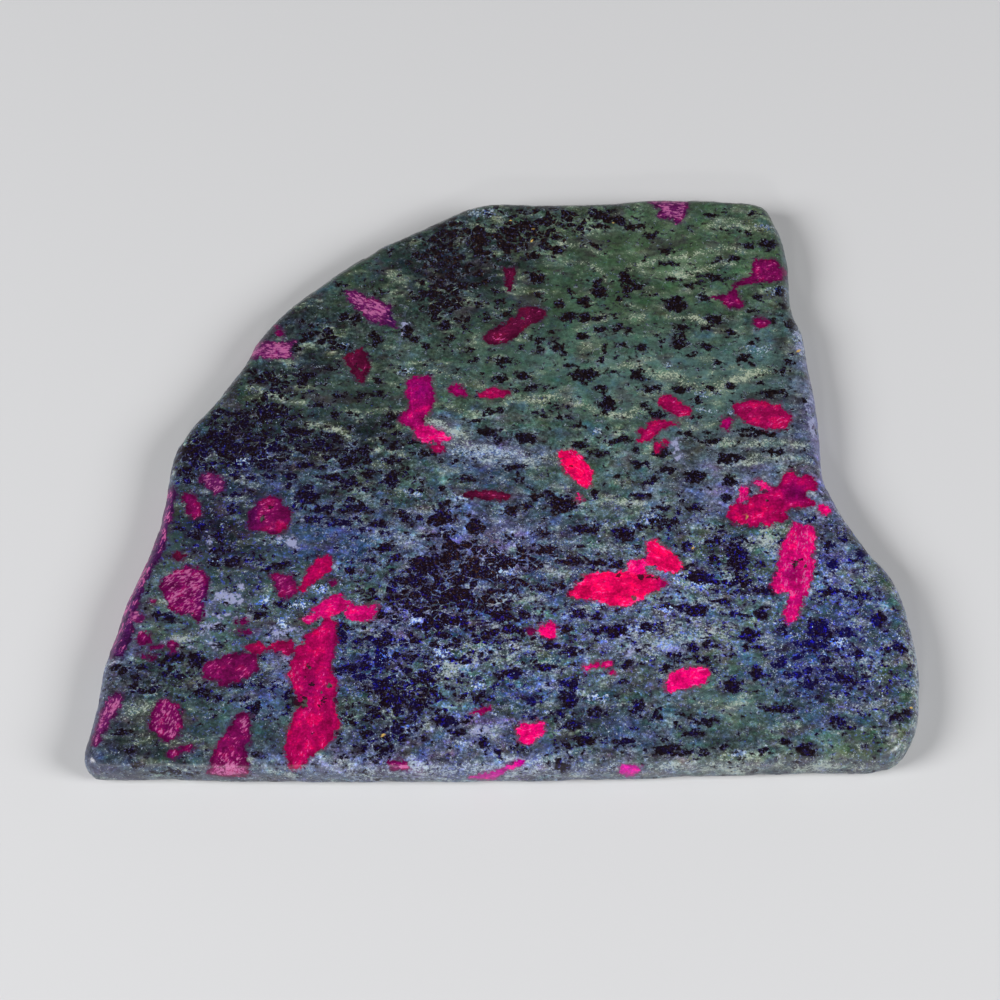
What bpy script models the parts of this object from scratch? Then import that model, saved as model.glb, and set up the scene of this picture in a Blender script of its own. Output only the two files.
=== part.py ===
"""A polished slab of ruby in zoisite, lying on its flat back.

The rubies and the hornblende grew inside the zoisite and are ground flush with it, so the slab is
one solid. Its near edge is a straight saw cut, and the rest of its rim is a broken edge that
tumbling has worn round. The origin is at the middle of the footprint, on the surface that the slab
rests on. +X runs along the saw cut, +Y away from it and +Z up.
"""

import math

import bmesh
import bpy
from mathutils import Matrix, Vector, noise

MM = 0.001

# Driving dimensions, in millimetres.
THICKNESS = 7.5
WORN_EDGE_RADIUS = 3.1  # between the flat faces and the broken rim
SAWN_EDGE_RADIUS = 2.5  # between the flat faces and the sawn rim
SAW_CUT_Y = (-66.0, -57.0)  # the rim is wholly sawn before the first, wholly broken past the second

# Lumps that tumbling left on the rim: (height, spacing) in millimetres.
COARSE_LUMPS = (0.45, 11.0)
FINE_LUMPS = (0.16, 4.0)
SAWN_LUMP_SHARE = 0.25  # how much of those heights is left on the sawn rim

# How finely the rim is divided.
RIM_SPACING = 2.3  # the longest step along it, in millimetres
LEAST_STEPS = 3  # between two points of the outline
ARC_STEPS = 4  # over each rounded edge

# The rim at its widest, in millimetres, clockwise as seen from above.
OUTLINE = [
    # the tight near-left corner
    (-74.4, -66.8),
    (-77.5, -66.6),
    (-79.3, -65.0),
    (-79.6, -62.4),
    # the long left side, leaning in as it runs back
    (-78.7, -58.4),
    (-78.0, -53.4),
    (-77.7, -47.9),
    (-77.2, -43.2),
    (-75.9, -37.7),
    (-74.2, -30.5),
    (-71.7, -22.7),
    (-69.5, -14.7),
    (-68.6, -8.5),
    (-68.1, -2.0),
    (-67.4, 3.4),
    (-66.0, 7.8),
    # the slanting far-left side, broken in shallow flats
    (-63.7, 12.0),
    (-60.1, 16.8),
    (-56.9, 22.5),
    (-54.1, 27.3),
    (-52.3, 31.8),
    (-49.7, 36.0),
    (-46.5, 40.1),
    (-42.4, 44.4),
    (-37.5, 48.9),
    (-33.1, 52.6),
    (-29.4, 55.3),
    (-26.8, 57.5),
    (-21.3, 60.6),
    (-14.8, 64.1),
    (-9.3, 67.2),
    (-5.0, 68.9),
    # the far side
    (-0.5, 69.5),
    (9.1, 69.2),
    (18.0, 69.4),
    (25.8, 69.9),
    (31.3, 70.4),
    (36.9, 70.5),
    (42.4, 70.6),
    (48.0, 70.2),
    (52.4, 69.9),
    # the far-right corner
    (55.6, 69.0),
    (57.3, 67.3),
    (58.2, 64.8),
    # the right side, in two steps and a shallow bay
    (59.6, 61.0),
    (60.6, 56.0),
    (60.9, 51.4),
    (60.5, 44.2),
    (61.1, 38.8),
    (62.6, 34.2),
    (63.2, 29.0),
    (63.8, 23.1),
    (64.4, 17.0),
    (64.3, 9.8),
    (64.3, 1.5),
    (65.2, -3.4),
    (67.2, -8.3),
    (69.3, -13.3),
    (72.0, -17.8),
    (75.0, -21.8),
    (77.1, -26.0),
    (78.2, -31.0),
    (79.3, -36.5),
    (79.9, -43.0),
    (79.7, -50.0),
    (78.8, -56.2),
    # the wide near-right corner
    (77.0, -60.6),
    (74.4, -63.7),
    (70.5, -65.2),
    # the saw cut
    (60.0, -65.4),
    (42.4, -65.9),
    (23.0, -66.6),
    (0.0, -67.1),
    (-26.4, -67.2),
    (-50.0, -67.1),
    (-66.0, -66.8),
]


def smoothstep(low, high, value):
    share = min(1.0, max(0.0, (value - low) / (high - low)))
    return share * share * (3 - 2 * share)


def clear_scene():
    for obj in list(bpy.data.objects):
        bpy.data.objects.remove(obj, do_unlink=True)


def curve_between(a, b, c, d, steps):
    """Points from b up to c on the centripetal Catmull-Rom curve through a, b, c and d."""
    ta = 0.0
    tb = ta + math.sqrt((b - a).length)
    tc = tb + math.sqrt((c - b).length)
    td = tc + math.sqrt((d - c).length)
    points = []
    for step in range(steps):
        t = tb + (tc - tb) * step / steps
        ab = a.lerp(b, (t - ta) / (tb - ta))
        bc = b.lerp(c, (t - tb) / (tc - tb))
        cd = c.lerp(d, (t - tc) / (td - tc))
        abc = ab.lerp(bc, (t - ta) / (tc - ta))
        bcd = bc.lerp(cd, (t - tb) / (td - tb))
        points.append(abc.lerp(bcd, (t - tb) / (tc - tb)))
    return points


def smooth_outline():
    """The outline as a closed loop of closely spaced points, in millimetres."""
    corners = [Vector(corner) for corner in OUTLINE]
    count = len(corners)
    loop = []
    for i in range(count):
        a, b, c, d = (corners[(i + k - 1) % count] for k in range(4))
        steps = max(LEAST_STEPS, math.ceil((c - b).length / RIM_SPACING))
        loop += curve_between(a, b, c, d, steps)
    return loop


def outward_directions(loop):
    """A unit vector at each point of a clockwise loop, at right angles to it and away from the slab."""
    count = len(loop)
    directions = []
    for i in range(count):
        along = (loop[(i + 1) % count] - loop[i - 1]).normalized()
        along += 0.5 * (loop[(i + 2) % count] - loop[i - 2]).normalized()
        directions.append(Vector((-along.y, along.x)).normalized())
    return directions


def lump(point, height, spacing):
    return height * noise.noise(point / spacing)


def rim_profile(edge_radius):
    """(inset, height) of each ring of the rim, from the flat back up to the flat front."""
    arc = []
    for step in range(ARC_STEPS + 1):
        turn = math.pi / 2 * step / ARC_STEPS
        arc.append((edge_radius * (1 - math.sin(turn)), edge_radius * (1 - math.cos(turn))))
    return arc + [(inset, THICKNESS - height) for inset, height in reversed(arc)]


def rim_column(edge_point, outward):
    """The points of the rim from back to front at one point of the outline, in millimetres."""
    broken = smoothstep(*SAW_CUT_Y, edge_point.y)
    edge_radius = SAWN_EDGE_RADIUS + (WORN_EDGE_RADIUS - SAWN_EDGE_RADIUS) * broken
    lump_share = SAWN_LUMP_SHARE + (1 - SAWN_LUMP_SHARE) * broken
    column = []
    for inset, height in rim_profile(edge_radius):
        point = (edge_point - inset * outward).to_3d()
        point.z = height
        # The lumps fade out at the flat faces, which stay flat.
        bulge = lump_share * (1 - inset / edge_radius)
        bulge *= lump(point, *COARSE_LUMPS) + lump(point, *FINE_LUMPS)
        column.append(point + bulge * outward.to_3d())
    return column


def slab_mesh():
    """The slab as a closed mesh: rings of rim points between two flat faces."""
    loop = smooth_outline()
    columns = [rim_column(*pair) for pair in zip(loop, outward_directions(loop))]
    rings = list(zip(*columns))
    bm = bmesh.new()
    ring_verts = [[bm.verts.new(point * MM) for point in ring] for ring in rings]
    for lower, upper in zip(ring_verts, ring_verts[1:]):
        for i in range(len(lower)):
            j = (i + 1) % len(lower)
            bm.faces.new((lower[i], lower[j], upper[j], upper[i]))
    for flat_face in (ring_verts[0], ring_verts[-1]):
        bm.faces.new(flat_face)
    bmesh.ops.recalc_face_normals(bm, faces=bm.faces)
    mesh = bpy.data.meshes.new("slab")
    bm.to_mesh(mesh)
    bm.free()
    return mesh


def centre_footprint(mesh):
    """Moves the mesh so that the middle of its footprint is the origin."""
    xs = [vert.co.x for vert in mesh.vertices]
    ys = [vert.co.y for vert in mesh.vertices]
    middle = Vector(((min(xs) + max(xs)) / 2, (min(ys) + max(ys)) / 2, 0.0))
    mesh.transform(Matrix.Translation(-middle))


def zoisite_material():
    material = bpy.data.materials.new("ruby_in_zoisite")
    material.use_nodes = True
    shader = material.node_tree.nodes["Principled BSDF"]
    shader.inputs["Base Color"].default_value = (0.13, 0.18, 0.14, 1.0)
    shader.inputs["Roughness"].default_value = 0.25
    shader.inputs["Metallic"].default_value = 0.0
    return material


def main():
    clear_scene()
    parts = bpy.data.collections.new("ruby_in_zoisite")
    bpy.context.scene.collection.children.link(parts)
    mesh = slab_mesh()
    centre_footprint(mesh)
    mesh.shade_smooth()
    mesh.set_sharp_from_angle(angle=math.radians(30))
    mesh.materials.append(zoisite_material())
    parts.objects.link(bpy.data.objects.new("slab", mesh))


main()
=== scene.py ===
"""Looks for a polished slab of ruby in zoisite, lying on a pale floor in soft studio light.

One fine mesh takes the place of the CAD slab. Its rim is the CAD rim made smooth, and its two flat
faces are filled with a fine grid, on which the rubies, the hornblende grains, the pale veins and
the tints of the zoisite are written as fields. The material draws its edges and grain from them.
"""

import math

import bmesh
import bpy
import numpy as np
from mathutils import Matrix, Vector, geometry, noise


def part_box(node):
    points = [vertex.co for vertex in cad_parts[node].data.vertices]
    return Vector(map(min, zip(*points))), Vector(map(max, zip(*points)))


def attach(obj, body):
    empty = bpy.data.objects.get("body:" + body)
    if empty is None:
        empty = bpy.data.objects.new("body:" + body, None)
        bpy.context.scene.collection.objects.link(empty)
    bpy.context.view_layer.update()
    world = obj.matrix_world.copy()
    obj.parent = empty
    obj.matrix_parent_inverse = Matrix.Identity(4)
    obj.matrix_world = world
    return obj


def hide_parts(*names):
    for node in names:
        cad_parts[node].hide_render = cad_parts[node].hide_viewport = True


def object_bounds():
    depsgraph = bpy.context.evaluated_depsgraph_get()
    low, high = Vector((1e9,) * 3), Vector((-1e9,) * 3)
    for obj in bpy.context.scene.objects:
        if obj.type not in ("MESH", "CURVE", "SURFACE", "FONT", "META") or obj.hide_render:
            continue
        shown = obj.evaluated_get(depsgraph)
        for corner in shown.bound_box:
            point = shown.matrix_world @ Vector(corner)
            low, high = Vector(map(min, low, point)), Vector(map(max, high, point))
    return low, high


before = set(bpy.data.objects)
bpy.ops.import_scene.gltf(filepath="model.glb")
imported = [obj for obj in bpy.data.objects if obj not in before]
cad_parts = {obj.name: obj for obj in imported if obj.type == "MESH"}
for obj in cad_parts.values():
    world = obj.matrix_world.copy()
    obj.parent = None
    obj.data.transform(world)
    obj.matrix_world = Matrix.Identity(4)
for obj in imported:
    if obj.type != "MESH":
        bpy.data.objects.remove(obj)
cad_low, cad_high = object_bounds()

MM = 0.001

# ---- Where things are in the stone ----
# Every place below is in millimetres on the polished face. It is counted from a point that lies
# here in the slab's own frame.
FIELD_ORIGIN = (-0.15, -1.7)
# The crystals run through the stone on a slant: a place this much lower looks like the place on
# the face that is this many millimetres nearer.
SLANT = 0.625

# Tones of a ruby: its colour on a screen, and how much pink dust its surface shows.
TONES = {
    # The glowing and hot tones are the rubies' red made brighter with painted fluorescent glow.
    "glowing": (226, 3, 88, 0.3),
    "hot": (232, 3, 112, 0.35),
    "rosy": (200, 6, 106, 0.5),
    "vivid": (168, 3, 82, 0.15),
    "boot": (158, 4, 96, 0.3),
    "red": (158, 8, 80, 0.45),
    "magenta": (116, 10, 80, 0.55),
    "dark": (92, 14, 54, 0.4),
    "dusky": (114, 10, 84, 0.9),
    "pale": (102, 26, 92, 1.15),
    "violet": (184, 4, 142, 0.1),
    # The rim tone is painted purple lamp light on the left rim.
    "rim": (72, 22, 82, 0.8),
}

# (tone, direction of its streaks in degrees, outline)
RUBIES = {
    "far_left_wedge": ("pale", -30, [
        (-33.8, 44.9), (-31.4, 44.3), (-29, 42.9), (-26.2, 41.7), (-23.6, 40.3), (-24, 38),
        (-22.8, 35.9), (-22.5, 34.8), (-24.6, 36.2), (-27, 36.2), (-28.9, 37.4), (-30.8, 40),
        (-32.7, 41.7)]),
    "left_rim_patch": ("pale", 0, [
        (-50.9, 31.6), (-48.1, 31.1), (-45.1, 30.7), (-43.8, 31.8), (-44.7, 29.3), (-43.9, 26.8),
        (-47.6, 27.1), (-50.9, 27.7), (-53, 27.1), (-52.5, 29.9)]),
    "left_rim_smudge": ("dusky", 0, [(-48.1, 35.4), (-47.2, 35.2), (-46, 33), (-47, 32.8)]),
    "trapezoid": ("dark", 60, [
        (-33, 28), (-30, 29.5), (-28.7, 28.1), (-28, 25.4), (-28.9, 23), (-29, 21.3), (-30.6, 21.4),
        (-31.4, 24.4), (-32.6, 26.4)]),
    "boot": ("boot", 80, [
        (-19.9, 21.9), (-17.6, 22.4), (-15.1, 22.7), (-14.8, 19.9), (-14.6, 17.1), (-15, 14.9),
        (-15.7, 13.3), (-16.8, 11.7), (-16.1, 10.3), (-17.7, 9.1), (-19, 10), (-21.6, 11.2),
        (-21.1, 12.5), (-19.4, 14.4), (-19.9, 17.1), (-20, 19.9)]),
    "boot_foot": ("rosy", -15, [
        (-17.5, 10.9), (-15.8, 10.3), (-13.3, 9.2), (-10.8, 7.3), (-11.7, 6.8), (-14.4, 6.5),
        (-16.9, 6.8), (-18.5, 8.1), (-18.5, 10)]),
    "boot_dot": ("red", 0, [(-15.3, 5.2), (-13.1, 5.7), (-12.3, 4.6), (-13.1, 3.9)]),
    "beside_boot": ("boot", 0, [(-11.7, 19.6), (-9.8, 20.6), (-7.7, 17.9), (-9.8, 17.7)]),
    "small_lens": ("red", 0, [
        (-5.6, 17.9), (-4.2, 19.1), (-2, 20.1), (-0.3, 19.3), (1.4, 18.5), (-0.3, 17.4), (-2, 17.1),
        (-5.1, 17.4)]),
    "slanted_bar": ("dark", 35, [
        (-4.3, 32.1), (-3.3, 33.8), (-1.5, 34.9), (0.9, 36.4), (2.3, 38.1), (3.4, 39.8),
        (5.5, 40.4), (7.9, 39.8), (8.3, 38.4), (7.4, 36.7), (5, 35.5), (3.2, 33.8), (1.3, 32.1),
        (-0.5, 30.7), (-3.1, 30.7)]),
    "triangle": ("dark", 80, [
        (-0.8, 50.6), (2.5, 50.5), (2.2, 48.7), (1.7, 46.8), (1.6, 44.6), (0.6, 44.7), (0.4, 47.2),
        (-0.1, 49)]),
    "far_rim_patch": ("pale", 0, [
        (30.7, 68.9), (31, 71.5), (39.4, 71.5), (39.4, 67.1), (38.3, 63.5), (37.2, 62.7),
        (36.3, 64.1), (33, 64.3), (33.8, 66.6), (31.9, 67.7)]),
    "far_right_magenta": ("magenta", 20, [
        (52.7, 52.4), (55.8, 52.8), (58, 52.4), (58.3, 51), (59.7, 49.6), (58.8, 47.4),
        (56.3, 46.8), (54.1, 47.4), (51.3, 46.6), (48, 45.2), (48.3, 46), (50.8, 47.4),
        (52.7, 49.1)]),
    "far_right_dark": ("magenta", 20, [
        (47.4, 44.4), (48.8, 45.3), (49.4, 42.8), (50.1, 40), (46.7, 40.2), (46.3, 42.1),
        (43.4, 42.8), (46.3, 43.2)]),
    "right_dark_dot": ("magenta", 0, [
        (51.9, 35.2), (52.7, 37.4), (54.1, 37.4), (55.5, 36.3), (54.1, 35.2)]),
    "slanted_oval": ("red", 20, [
        (31.6, 15.4), (32, 17.4), (33.6, 17.9), (34.9, 16.6), (36.9, 15.2), (38.1, 14.3),
        (37.9, 12.7), (35.8, 12.9), (33.6, 14.1)]),
    "ragged_middle": ("red", 35, [
        (29.1, 10.7), (30.8, 11.8), (33.6, 11.3), (36.3, 11.1), (33.6, 10.4), (31.9, 9.3),
        (30.2, 7.9), (28.8, 6.6), (27.2, 6.6), (27.7, 8.2), (26.9, 9.1), (28.6, 9.6)]),
    "ragged_middle_bit": ("red", 35, [
        (29.9, 5.4), (31.3, 6.3), (33, 6.8), (31.6, 5.2), (30.8, 3.9)]),
    "left_of_stripes": ("boot", 70, [
        (44.1, 11), (44.9, 12.5), (46.2, 12.1), (46.1, 9.9), (45.2, 8.8), (44.6, 9.9)]),
    "striped_oval": ("red", 30, [
        (47.1, 15.4), (49, 16.4), (51.5, 16.4), (54.2, 15.6), (56, 15.6), (57.3, 14.2), (59, 12.9),
        (58, 11.2), (57, 9.6), (54.3, 9.6), (51.2, 10.4), (49, 11.5), (47.2, 12.9)]),
    "leaf": ("glowing", -50, [
        (10.6, 3.3), (11.6, 4.1), (13.2, 4.2), (14.5, 3.5), (15.6, 2.2), (16.7, 0.9), (17.6, -0.5),
        (17.5, -2.3), (16.8, -4.7), (15.9, -4.2), (14.6, -2.9), (13.5, -1.8), (12.4, -0.5),
        (11.3, 1.4)]),
    "leaf_dot": ("hot", 0, [(14, -7.1), (14.8, -6.4), (15.6, -7.1), (14.8, -7.9)]),
    "left_pink": ("pale", 40, [
        (-61.2, -2.1), (-59.8, -0.9), (-58.4, -1.6), (-56.4, -3.2), (-56.7, -5.2), (-57.6, -6.3),
        (-58.9, -4.9), (-61.2, -2.9)]),
    "left_magenta": ("magenta", 60, [
        (-64.2, -6), (-62.6, -6), (-61.4, -7.9), (-60.4, -10.4), (-61.2, -11.8), (-62.6, -11.4),
        (-63.7, -9.3), (-64.3, -7.7)]),
    "round": ("magenta", 20, [
        (-50.6, -9.1), (-48.7, -7.9), (-47.3, -6.7), (-45.1, -6.8), (-43.9, -9.1), (-42.3, -10.6),
        (-43.1, -13.2), (-45.1, -15.2), (-46.4, -15.4), (-48.1, -14.3), (-49.2, -14.8),
        (-51.3, -14.3), (-50.9, -12.4)]),
    "round_core": ("red", 70, [
        (-48.1, -8.3), (-46.8, -7.5), (-45, -7.2), (-44, -9.3), (-43, -11.4), (-43.2, -13.5),
        (-44.4, -15), (-46, -15.3), (-47.4, -13.5), (-47.9, -11.4)]),
    "left_speck": ("dark", 0, [(-65.1, -19.6), (-63.1, -20.2), (-63.7, -21.6), (-65.3, -21)]),
    "big_dusky": ("dusky", 35, [
        (-67.5, -27), (-66.6, -25.2), (-64.7, -23.7), (-62.6, -23), (-60.6, -23.2), (-59, -24.7),
        (-58.2, -27), (-58.5, -29), (-59.2, -30.8), (-58.9, -33), (-59, -35), (-59.8, -35.2),
        (-60.8, -33.5), (-62.7, -33.5), (-64.7, -32.7), (-66.2, -31), (-66.7, -29)]),
    "big_dusky_lobe": ("dusky", 35, [
        (-69.7, -30.7), (-68.7, -30.1), (-67.7, -30.7), (-68.7, -31.3)]),
    "double_left": ("magenta", 30, [
        (-45.9, -24.9), (-44.8, -24.3), (-43.1, -25.2), (-42, -24.9), (-41.2, -27.1),
        (-40.6, -28.8), (-42.8, -30), (-44.2, -29.3), (-45.1, -27.4)]),
    "double_right": ("vivid", 50, [
        (-36.7, -20.9), (-34.8, -20.6), (-33.7, -22.1), (-35.1, -24.3), (-37.6, -26.3),
        (-39.5, -28.5), (-40.3, -28.2), (-39.5, -25.4), (-38.1, -23.2)]),
    "double_bit": ("magenta", 0, [(-34, -26.7), (-33.4, -26.2), (-32.7, -26.7), (-33.4, -27.3)]),
    "above_blade": ("rosy", 10, [
        (-39.5, -35.2), (-38.3, -34.2), (-37, -33.7), (-37.4, -32.5), (-35.8, -31.5), (-34.1, -30),
        (-32.4, -29.5), (-30.4, -31.5), (-31.4, -32.5), (-33.1, -33.5), (-34.4, -34.3),
        (-36.1, -34.2), (-37.8, -35.5)]),
    "right_of_blade": ("rosy", 15, [
        (-30.9, -32.7), (-29.7, -31.8), (-27.9, -32), (-25.8, -31.5), (-24.7, -31.2),
        (-25.5, -33.2), (-25.7, -35), (-28.1, -35.2), (-30.5, -34.7)]),
    "blade": ("vivid", 82, [
        (-34.2, -34), (-32.7, -35.7), (-32.7, -38.7), (-32.9, -41.6), (-33.3, -44.5),
        (-33.5, -46.7), (-32.3, -48.8), (-32.5, -51.2), (-32.7, -54.1), (-31.6, -56.9),
        (-32.2, -59.7), (-33.8, -61.8), (-35.6, -63.7), (-37.6, -65.8), (-39.6, -67.4),
        (-40.5, -65.3), (-41.3, -62.8), (-41, -60.4), (-40.4, -57.9), (-40.1, -55.5), (-39, -54.1),
        (-39.8, -52.7), (-39.7, -51.1), (-40.8, -49.3), (-41.6, -46.2), (-40.8, -44),
        (-40.1, -41.4), (-38.7, -39.9), (-37.9, -37.9), (-36, -36.5), (-35, -34.7)]),
    "thin_bar_left": ("red", 5, [
        (-50.3, -41.1), (-48.7, -40.2), (-46.4, -40.4), (-46.4, -41.8), (-48.7, -42.2)]),
    "thin_bar_right": ("red", 5, [
        (-45.6, -40.7), (-43.1, -39.8), (-40.9, -39.8), (-40.6, -41.6), (-42, -42.8), (-43.7, -42),
        (-45.6, -41.4)]),
    "rectangle": ("magenta", 40, [
        (-57.9, -45.2), (-56.2, -43.8), (-54.1, -43.1), (-51.2, -42.3), (-48.4, -42.3),
        (-47.5, -44), (-47.8, -46.4), (-49.4, -47.6), (-51.1, -48.4), (-53, -48.4), (-53.5, -49.8),
        (-54.4, -49.3), (-54.3, -48.1), (-56.4, -47.9), (-57.8, -47.2)]),
    "near_wedge": ("magenta", 55, [
        (-50.7, -55.7), (-49, -55.3), (-48.3, -56.4), (-48.4, -58.3), (-48.1, -60.4),
        (-48.8, -62.3), (-49.4, -64.1), (-48, -66), (-48.3, -68.7), (-52, -69), (-55.8, -68.7),
        (-55.3, -66.2), (-54.8, -64.1), (-54.3, -61.8), (-53.4, -59.9), (-51.8, -58.1),
        (-51.7, -56.7)]),
    "near_oval": ("dusky", 70, [
        (-66.4, -53.2), (-65.3, -52.2), (-62.8, -52.9), (-61.3, -56), (-61.2, -58.8), (-62.8, -61),
        (-64.5, -60.7), (-67, -58.8), (-67.4, -57.4), (-67, -54.9)]),
    "left_rim_long": ("pale", 65, [
        (-74.8, -51), (-73.4, -50.7), (-72.9, -52.4), (-74.2, -55.7), (-75.9, -59.3),
        (-77.3, -62.1), (-78, -61.6), (-77.4, -57.7), (-76.4, -53.8)]),
    "pink_triangle": ("pale", 0, [(-73.4, -31.6), (-71.8, -33), (-69.9, -35.3), (-73.8, -35.8)]),
    # Painted purple lamp light along the left rim, drawn as a violet band in the rim tone.
    "left_rim_painted_light": ("rim", 70, [
        (-66.3, -4), (-66, -9), (-66.9, -14), (-67.4, -19), (-69.2, -23), (-71, -28.3), (-72, -33),
        (-72.2, -38), (-73.4, -42.7), (-76.8, -43.5), (-76.4, -36), (-74.4, -29), (-71.9, -21),
        (-69.8, -13), (-68.6, -5)]),
    "near_rim_left": ("dusky", 0, [
        (-22, -65.2), (-19, -65.4), (-17.7, -67.2), (-21.5, -67.5)]),
    "near_rim_sliver": ("violet", 25, [
        (-7.5, -69.3), (-2, -67.7), (0.8, -66.3), (3.3, -65.2), (2.4, -66.8), (0.2, -67.4),
        (-2, -69.6)]),
    "near_thread": ("boot", 15, [(-6.2, -54.9), (-2.8, -53.8), (-2.6, -54.4), (-6, -55.5)]),
    "near_rim_right": ("violet", 0, [
        (21.6, -66.3), (25.2, -66.3), (25.2, -68.2), (23.6, -69.4), (21.9, -68.5)]),
    "spindle_dark": ("dark", 0, [
        (-9.2, -6.3), (-7, -5.4), (-2, -5.2), (0.2, -6), (1.4, -6.6), (-0.3, -7.4), (-2, -7.4),
        (-4.8, -7.1)]),
    "spindle": ("glowing", 12, [
        (12.6, -28.9), (13.9, -27.4), (15.4, -26.4), (15.3, -24.9), (16.5, -25.2), (18.8, -24.6),
        (20.9, -24.4), (23.1, -24.6), (24.9, -24), (26.2, -24.6), (27.9, -24.6), (29.2, -25.4),
        (30.9, -26.3), (32.6, -26.6), (30.4, -27.6), (28.7, -28.9), (26.5, -29.9), (24.7, -31.1),
        (22.3, -31.9), (20.3, -31.1), (17.8, -30.4), (15.2, -30), (13.2, -29.6)]),
    "spindle_middle": ("hot", 60, [
        (24.4, -22.7), (25.4, -21.3), (26.9, -21.1), (28, -21.9), (27.7, -23.3), (27.3, -24.9),
        (24.9, -25.1), (24.5, -24)]),
    "spindle_top": ("glowing", -40, [
        (28.1, -18), (29.2, -17.1), (30.5, -17.5), (31.4, -19), (32.9, -19.5), (33.7, -20.8),
        (35, -22.3), (33.8, -24.4), (31.9, -23.9), (29.7, -23.1), (27.7, -22), (28.5, -20)]),
    "below_spindle": ("hot", 0, [
        (7.2, -36), (9.7, -36), (9.8, -38.2), (8.3, -39.2), (6.9, -37.9)]),
    "below_spindle_dot": ("magenta", 0, [(4.2, -37.4), (4.9, -36.9), (5.6, -37.4), (4.9, -37.9)]),
    "low_thread": ("rosy", 10, [
        (14.9, -45.2), (17.2, -44.6), (20.2, -44.1), (20.2, -45.2), (17.4, -45.7), (15.8, -46)]),
    "low_thread_bit": ("rosy", 0, [(19.8, -46.6), (20.5, -46.1), (21.2, -46.6), (20.5, -47.1)]),
    "lozenge": ("hot", 15, [
        (30.5, -49.9), (31.3, -47.4), (34.1, -45.7), (38.8, -45.7), (39.1, -47.1), (37.7, -49.1),
        (34.1, -49.8), (31.3, -50.6)]),
    "near_middle": ("hot", 20, [
        (1.9, -59.3), (2.7, -57.9), (7.2, -57.1), (7.2, -58.5), (5.8, -60.7), (4.7, -61.7),
        (3, -61)]),
    "right_cluster": ("vivid", 15, [
        (44.8, -10.4), (45.1, -9.3), (46, -8.4), (46.7, -8), (47.2, -8.6), (47.9, -8.4),
        (48.7, -8.2), (48.9, -7.1), (49.7, -6.6), (50.5, -6), (51.7, -5.8), (52.9, -5.6),
        (53.9, -4.9), (54.8, -4.2), (55.7, -3.1), (56.1, -1.9), (56.7, -0.9), (57.4, -0.5),
        (58.2, -0.7), (58.9, -1.8), (59.7, -2.4), (60.8, -1.9), (61.7, -2.4), (62.4, -3.1),
        (62.2, -4.4), (61.4, -5.1), (60.3, -5.7), (59.7, -6.6), (60.2, -7.3), (61.2, -7.6),
        (61.8, -8.2), (61.1, -8.8), (59.9, -8.7), (58.9, -9.4), (57.7, -8.8), (56.7, -9.4),
        (55.9, -10.3), (56.3, -11.6), (55.6, -12.3), (54.3, -12.5), (53.3, -13), (52.4, -13.8),
        (51.5, -13.4), (50.7, -12.8), (49.9, -13.5), (48.9, -13.6), (48.1, -12.8), (46.9, -12.5),
        (45.8, -13), (45, -12), (44.6, -11.1)]),
    "right_cluster_knob": ("rosy", 80, [
        (47, -5.4), (47.4, -4.5), (48, -4.3), (48.6, -4.5), (48.9, -5.3), (48.6, -6.1), (48, -6.7),
        (47.7, -7.7), (47.2, -8.2), (46.9, -7.4), (47.3, -6.3)]),
    "right_cluster_horn": ("rosy", 0, [
        (50.4, -2.6), (51.1, -2.6), (51.8, -3.4), (52.6, -4.1), (53.9, -5.1), (52.7, -6),
        (51.5, -4.7), (50.7, -3.9), (50.2, -3.2)]),
    "right_of_cluster": ("hot", 0, [
        (62.4, -9.1), (63.8, -8.7), (64.9, -9.6), (64.1, -11), (63, -10.6)]),
    "tall": ("rosy", 75, [
        (56.7, -14.1), (57.6, -13.1), (58.7, -13.4), (59.3, -14.8), (60.2, -13.6), (61.2, -14.1),
        (61.5, -15.9), (61, -18.8), (60.3, -20.3), (61, -21.3), (60.7, -23.3), (60, -25.9),
        (59, -28.4), (58.1, -29.9), (57.7, -32.4), (56.7, -34.4), (55.3, -35.6), (54.4, -34.8),
        (54.3, -33.4), (55.2, -31.4), (55.7, -29.4), (54.7, -28.1), (53.1, -28.9), (52.1, -27.6),
        (52.7, -25.9), (53.4, -24.1), (53.9, -22.1), (54.7, -20.5), (54.6, -18.8), (55.6, -17.2),
        (55.9, -15.7)]),
}

# Crumbs of hornblende in the rubies: (x, y, length, width).
CRUMBS = [
    (-38.3, -47.7, 0.9, 1.2), (-33.7, -49.4, 1.2, 1), (-34.7, -51.8, 0.8, 2.2),
    (-35.2, -53.7, 0.8, 0.9), (-36.9, -49, 0.7, 0.8), (22, -24.9, 0.6, 0.5),
    (26.7, -25.3, 0.9, 0.5), (28, -25.1, 0.8, 0.5), (29.2, -25.5, 0.8, 0.6), (22, -29.6, 0.7, 0.8),
    (25.2, -30.1, 0.7, 0.5), (23.6, -30.3, 0.5, 0.6), (58.1, -21.4, 1.6, 0.9),
    (57, -22.8, 0.9, 0.9), (59.2, -22.8, 0.8, 0.6), (-15.7, 13.5, 0.8, 1), (-0.8, 31, 1.2, 0.9),
    (3.4, 37.2, 1.3, 0.8), (12.5, 0.6, 1.1, 0.5), (46.3, -10.1, 0.6, 0.5), (52.6, -7.5, 0.6, 0.5),
    (-52.8, -45.5, 0.8, 0.6), (-48.4, -12.2, 0.7, 1.2), (-46.7, -9.1, 0.7, 0.9),
    (-38.2, -52.6, 1.3, 3), (-40.1, -52.7, 1.5, 2.6), (-37.8, -45.3, 0.8, 1),
    (-36.4, -59.8, 0.6, 0.6), (-31.2, 25.4, 0.8, 1.2), (-29.8, 24.2, 0.6, 0.8),
]

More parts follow.
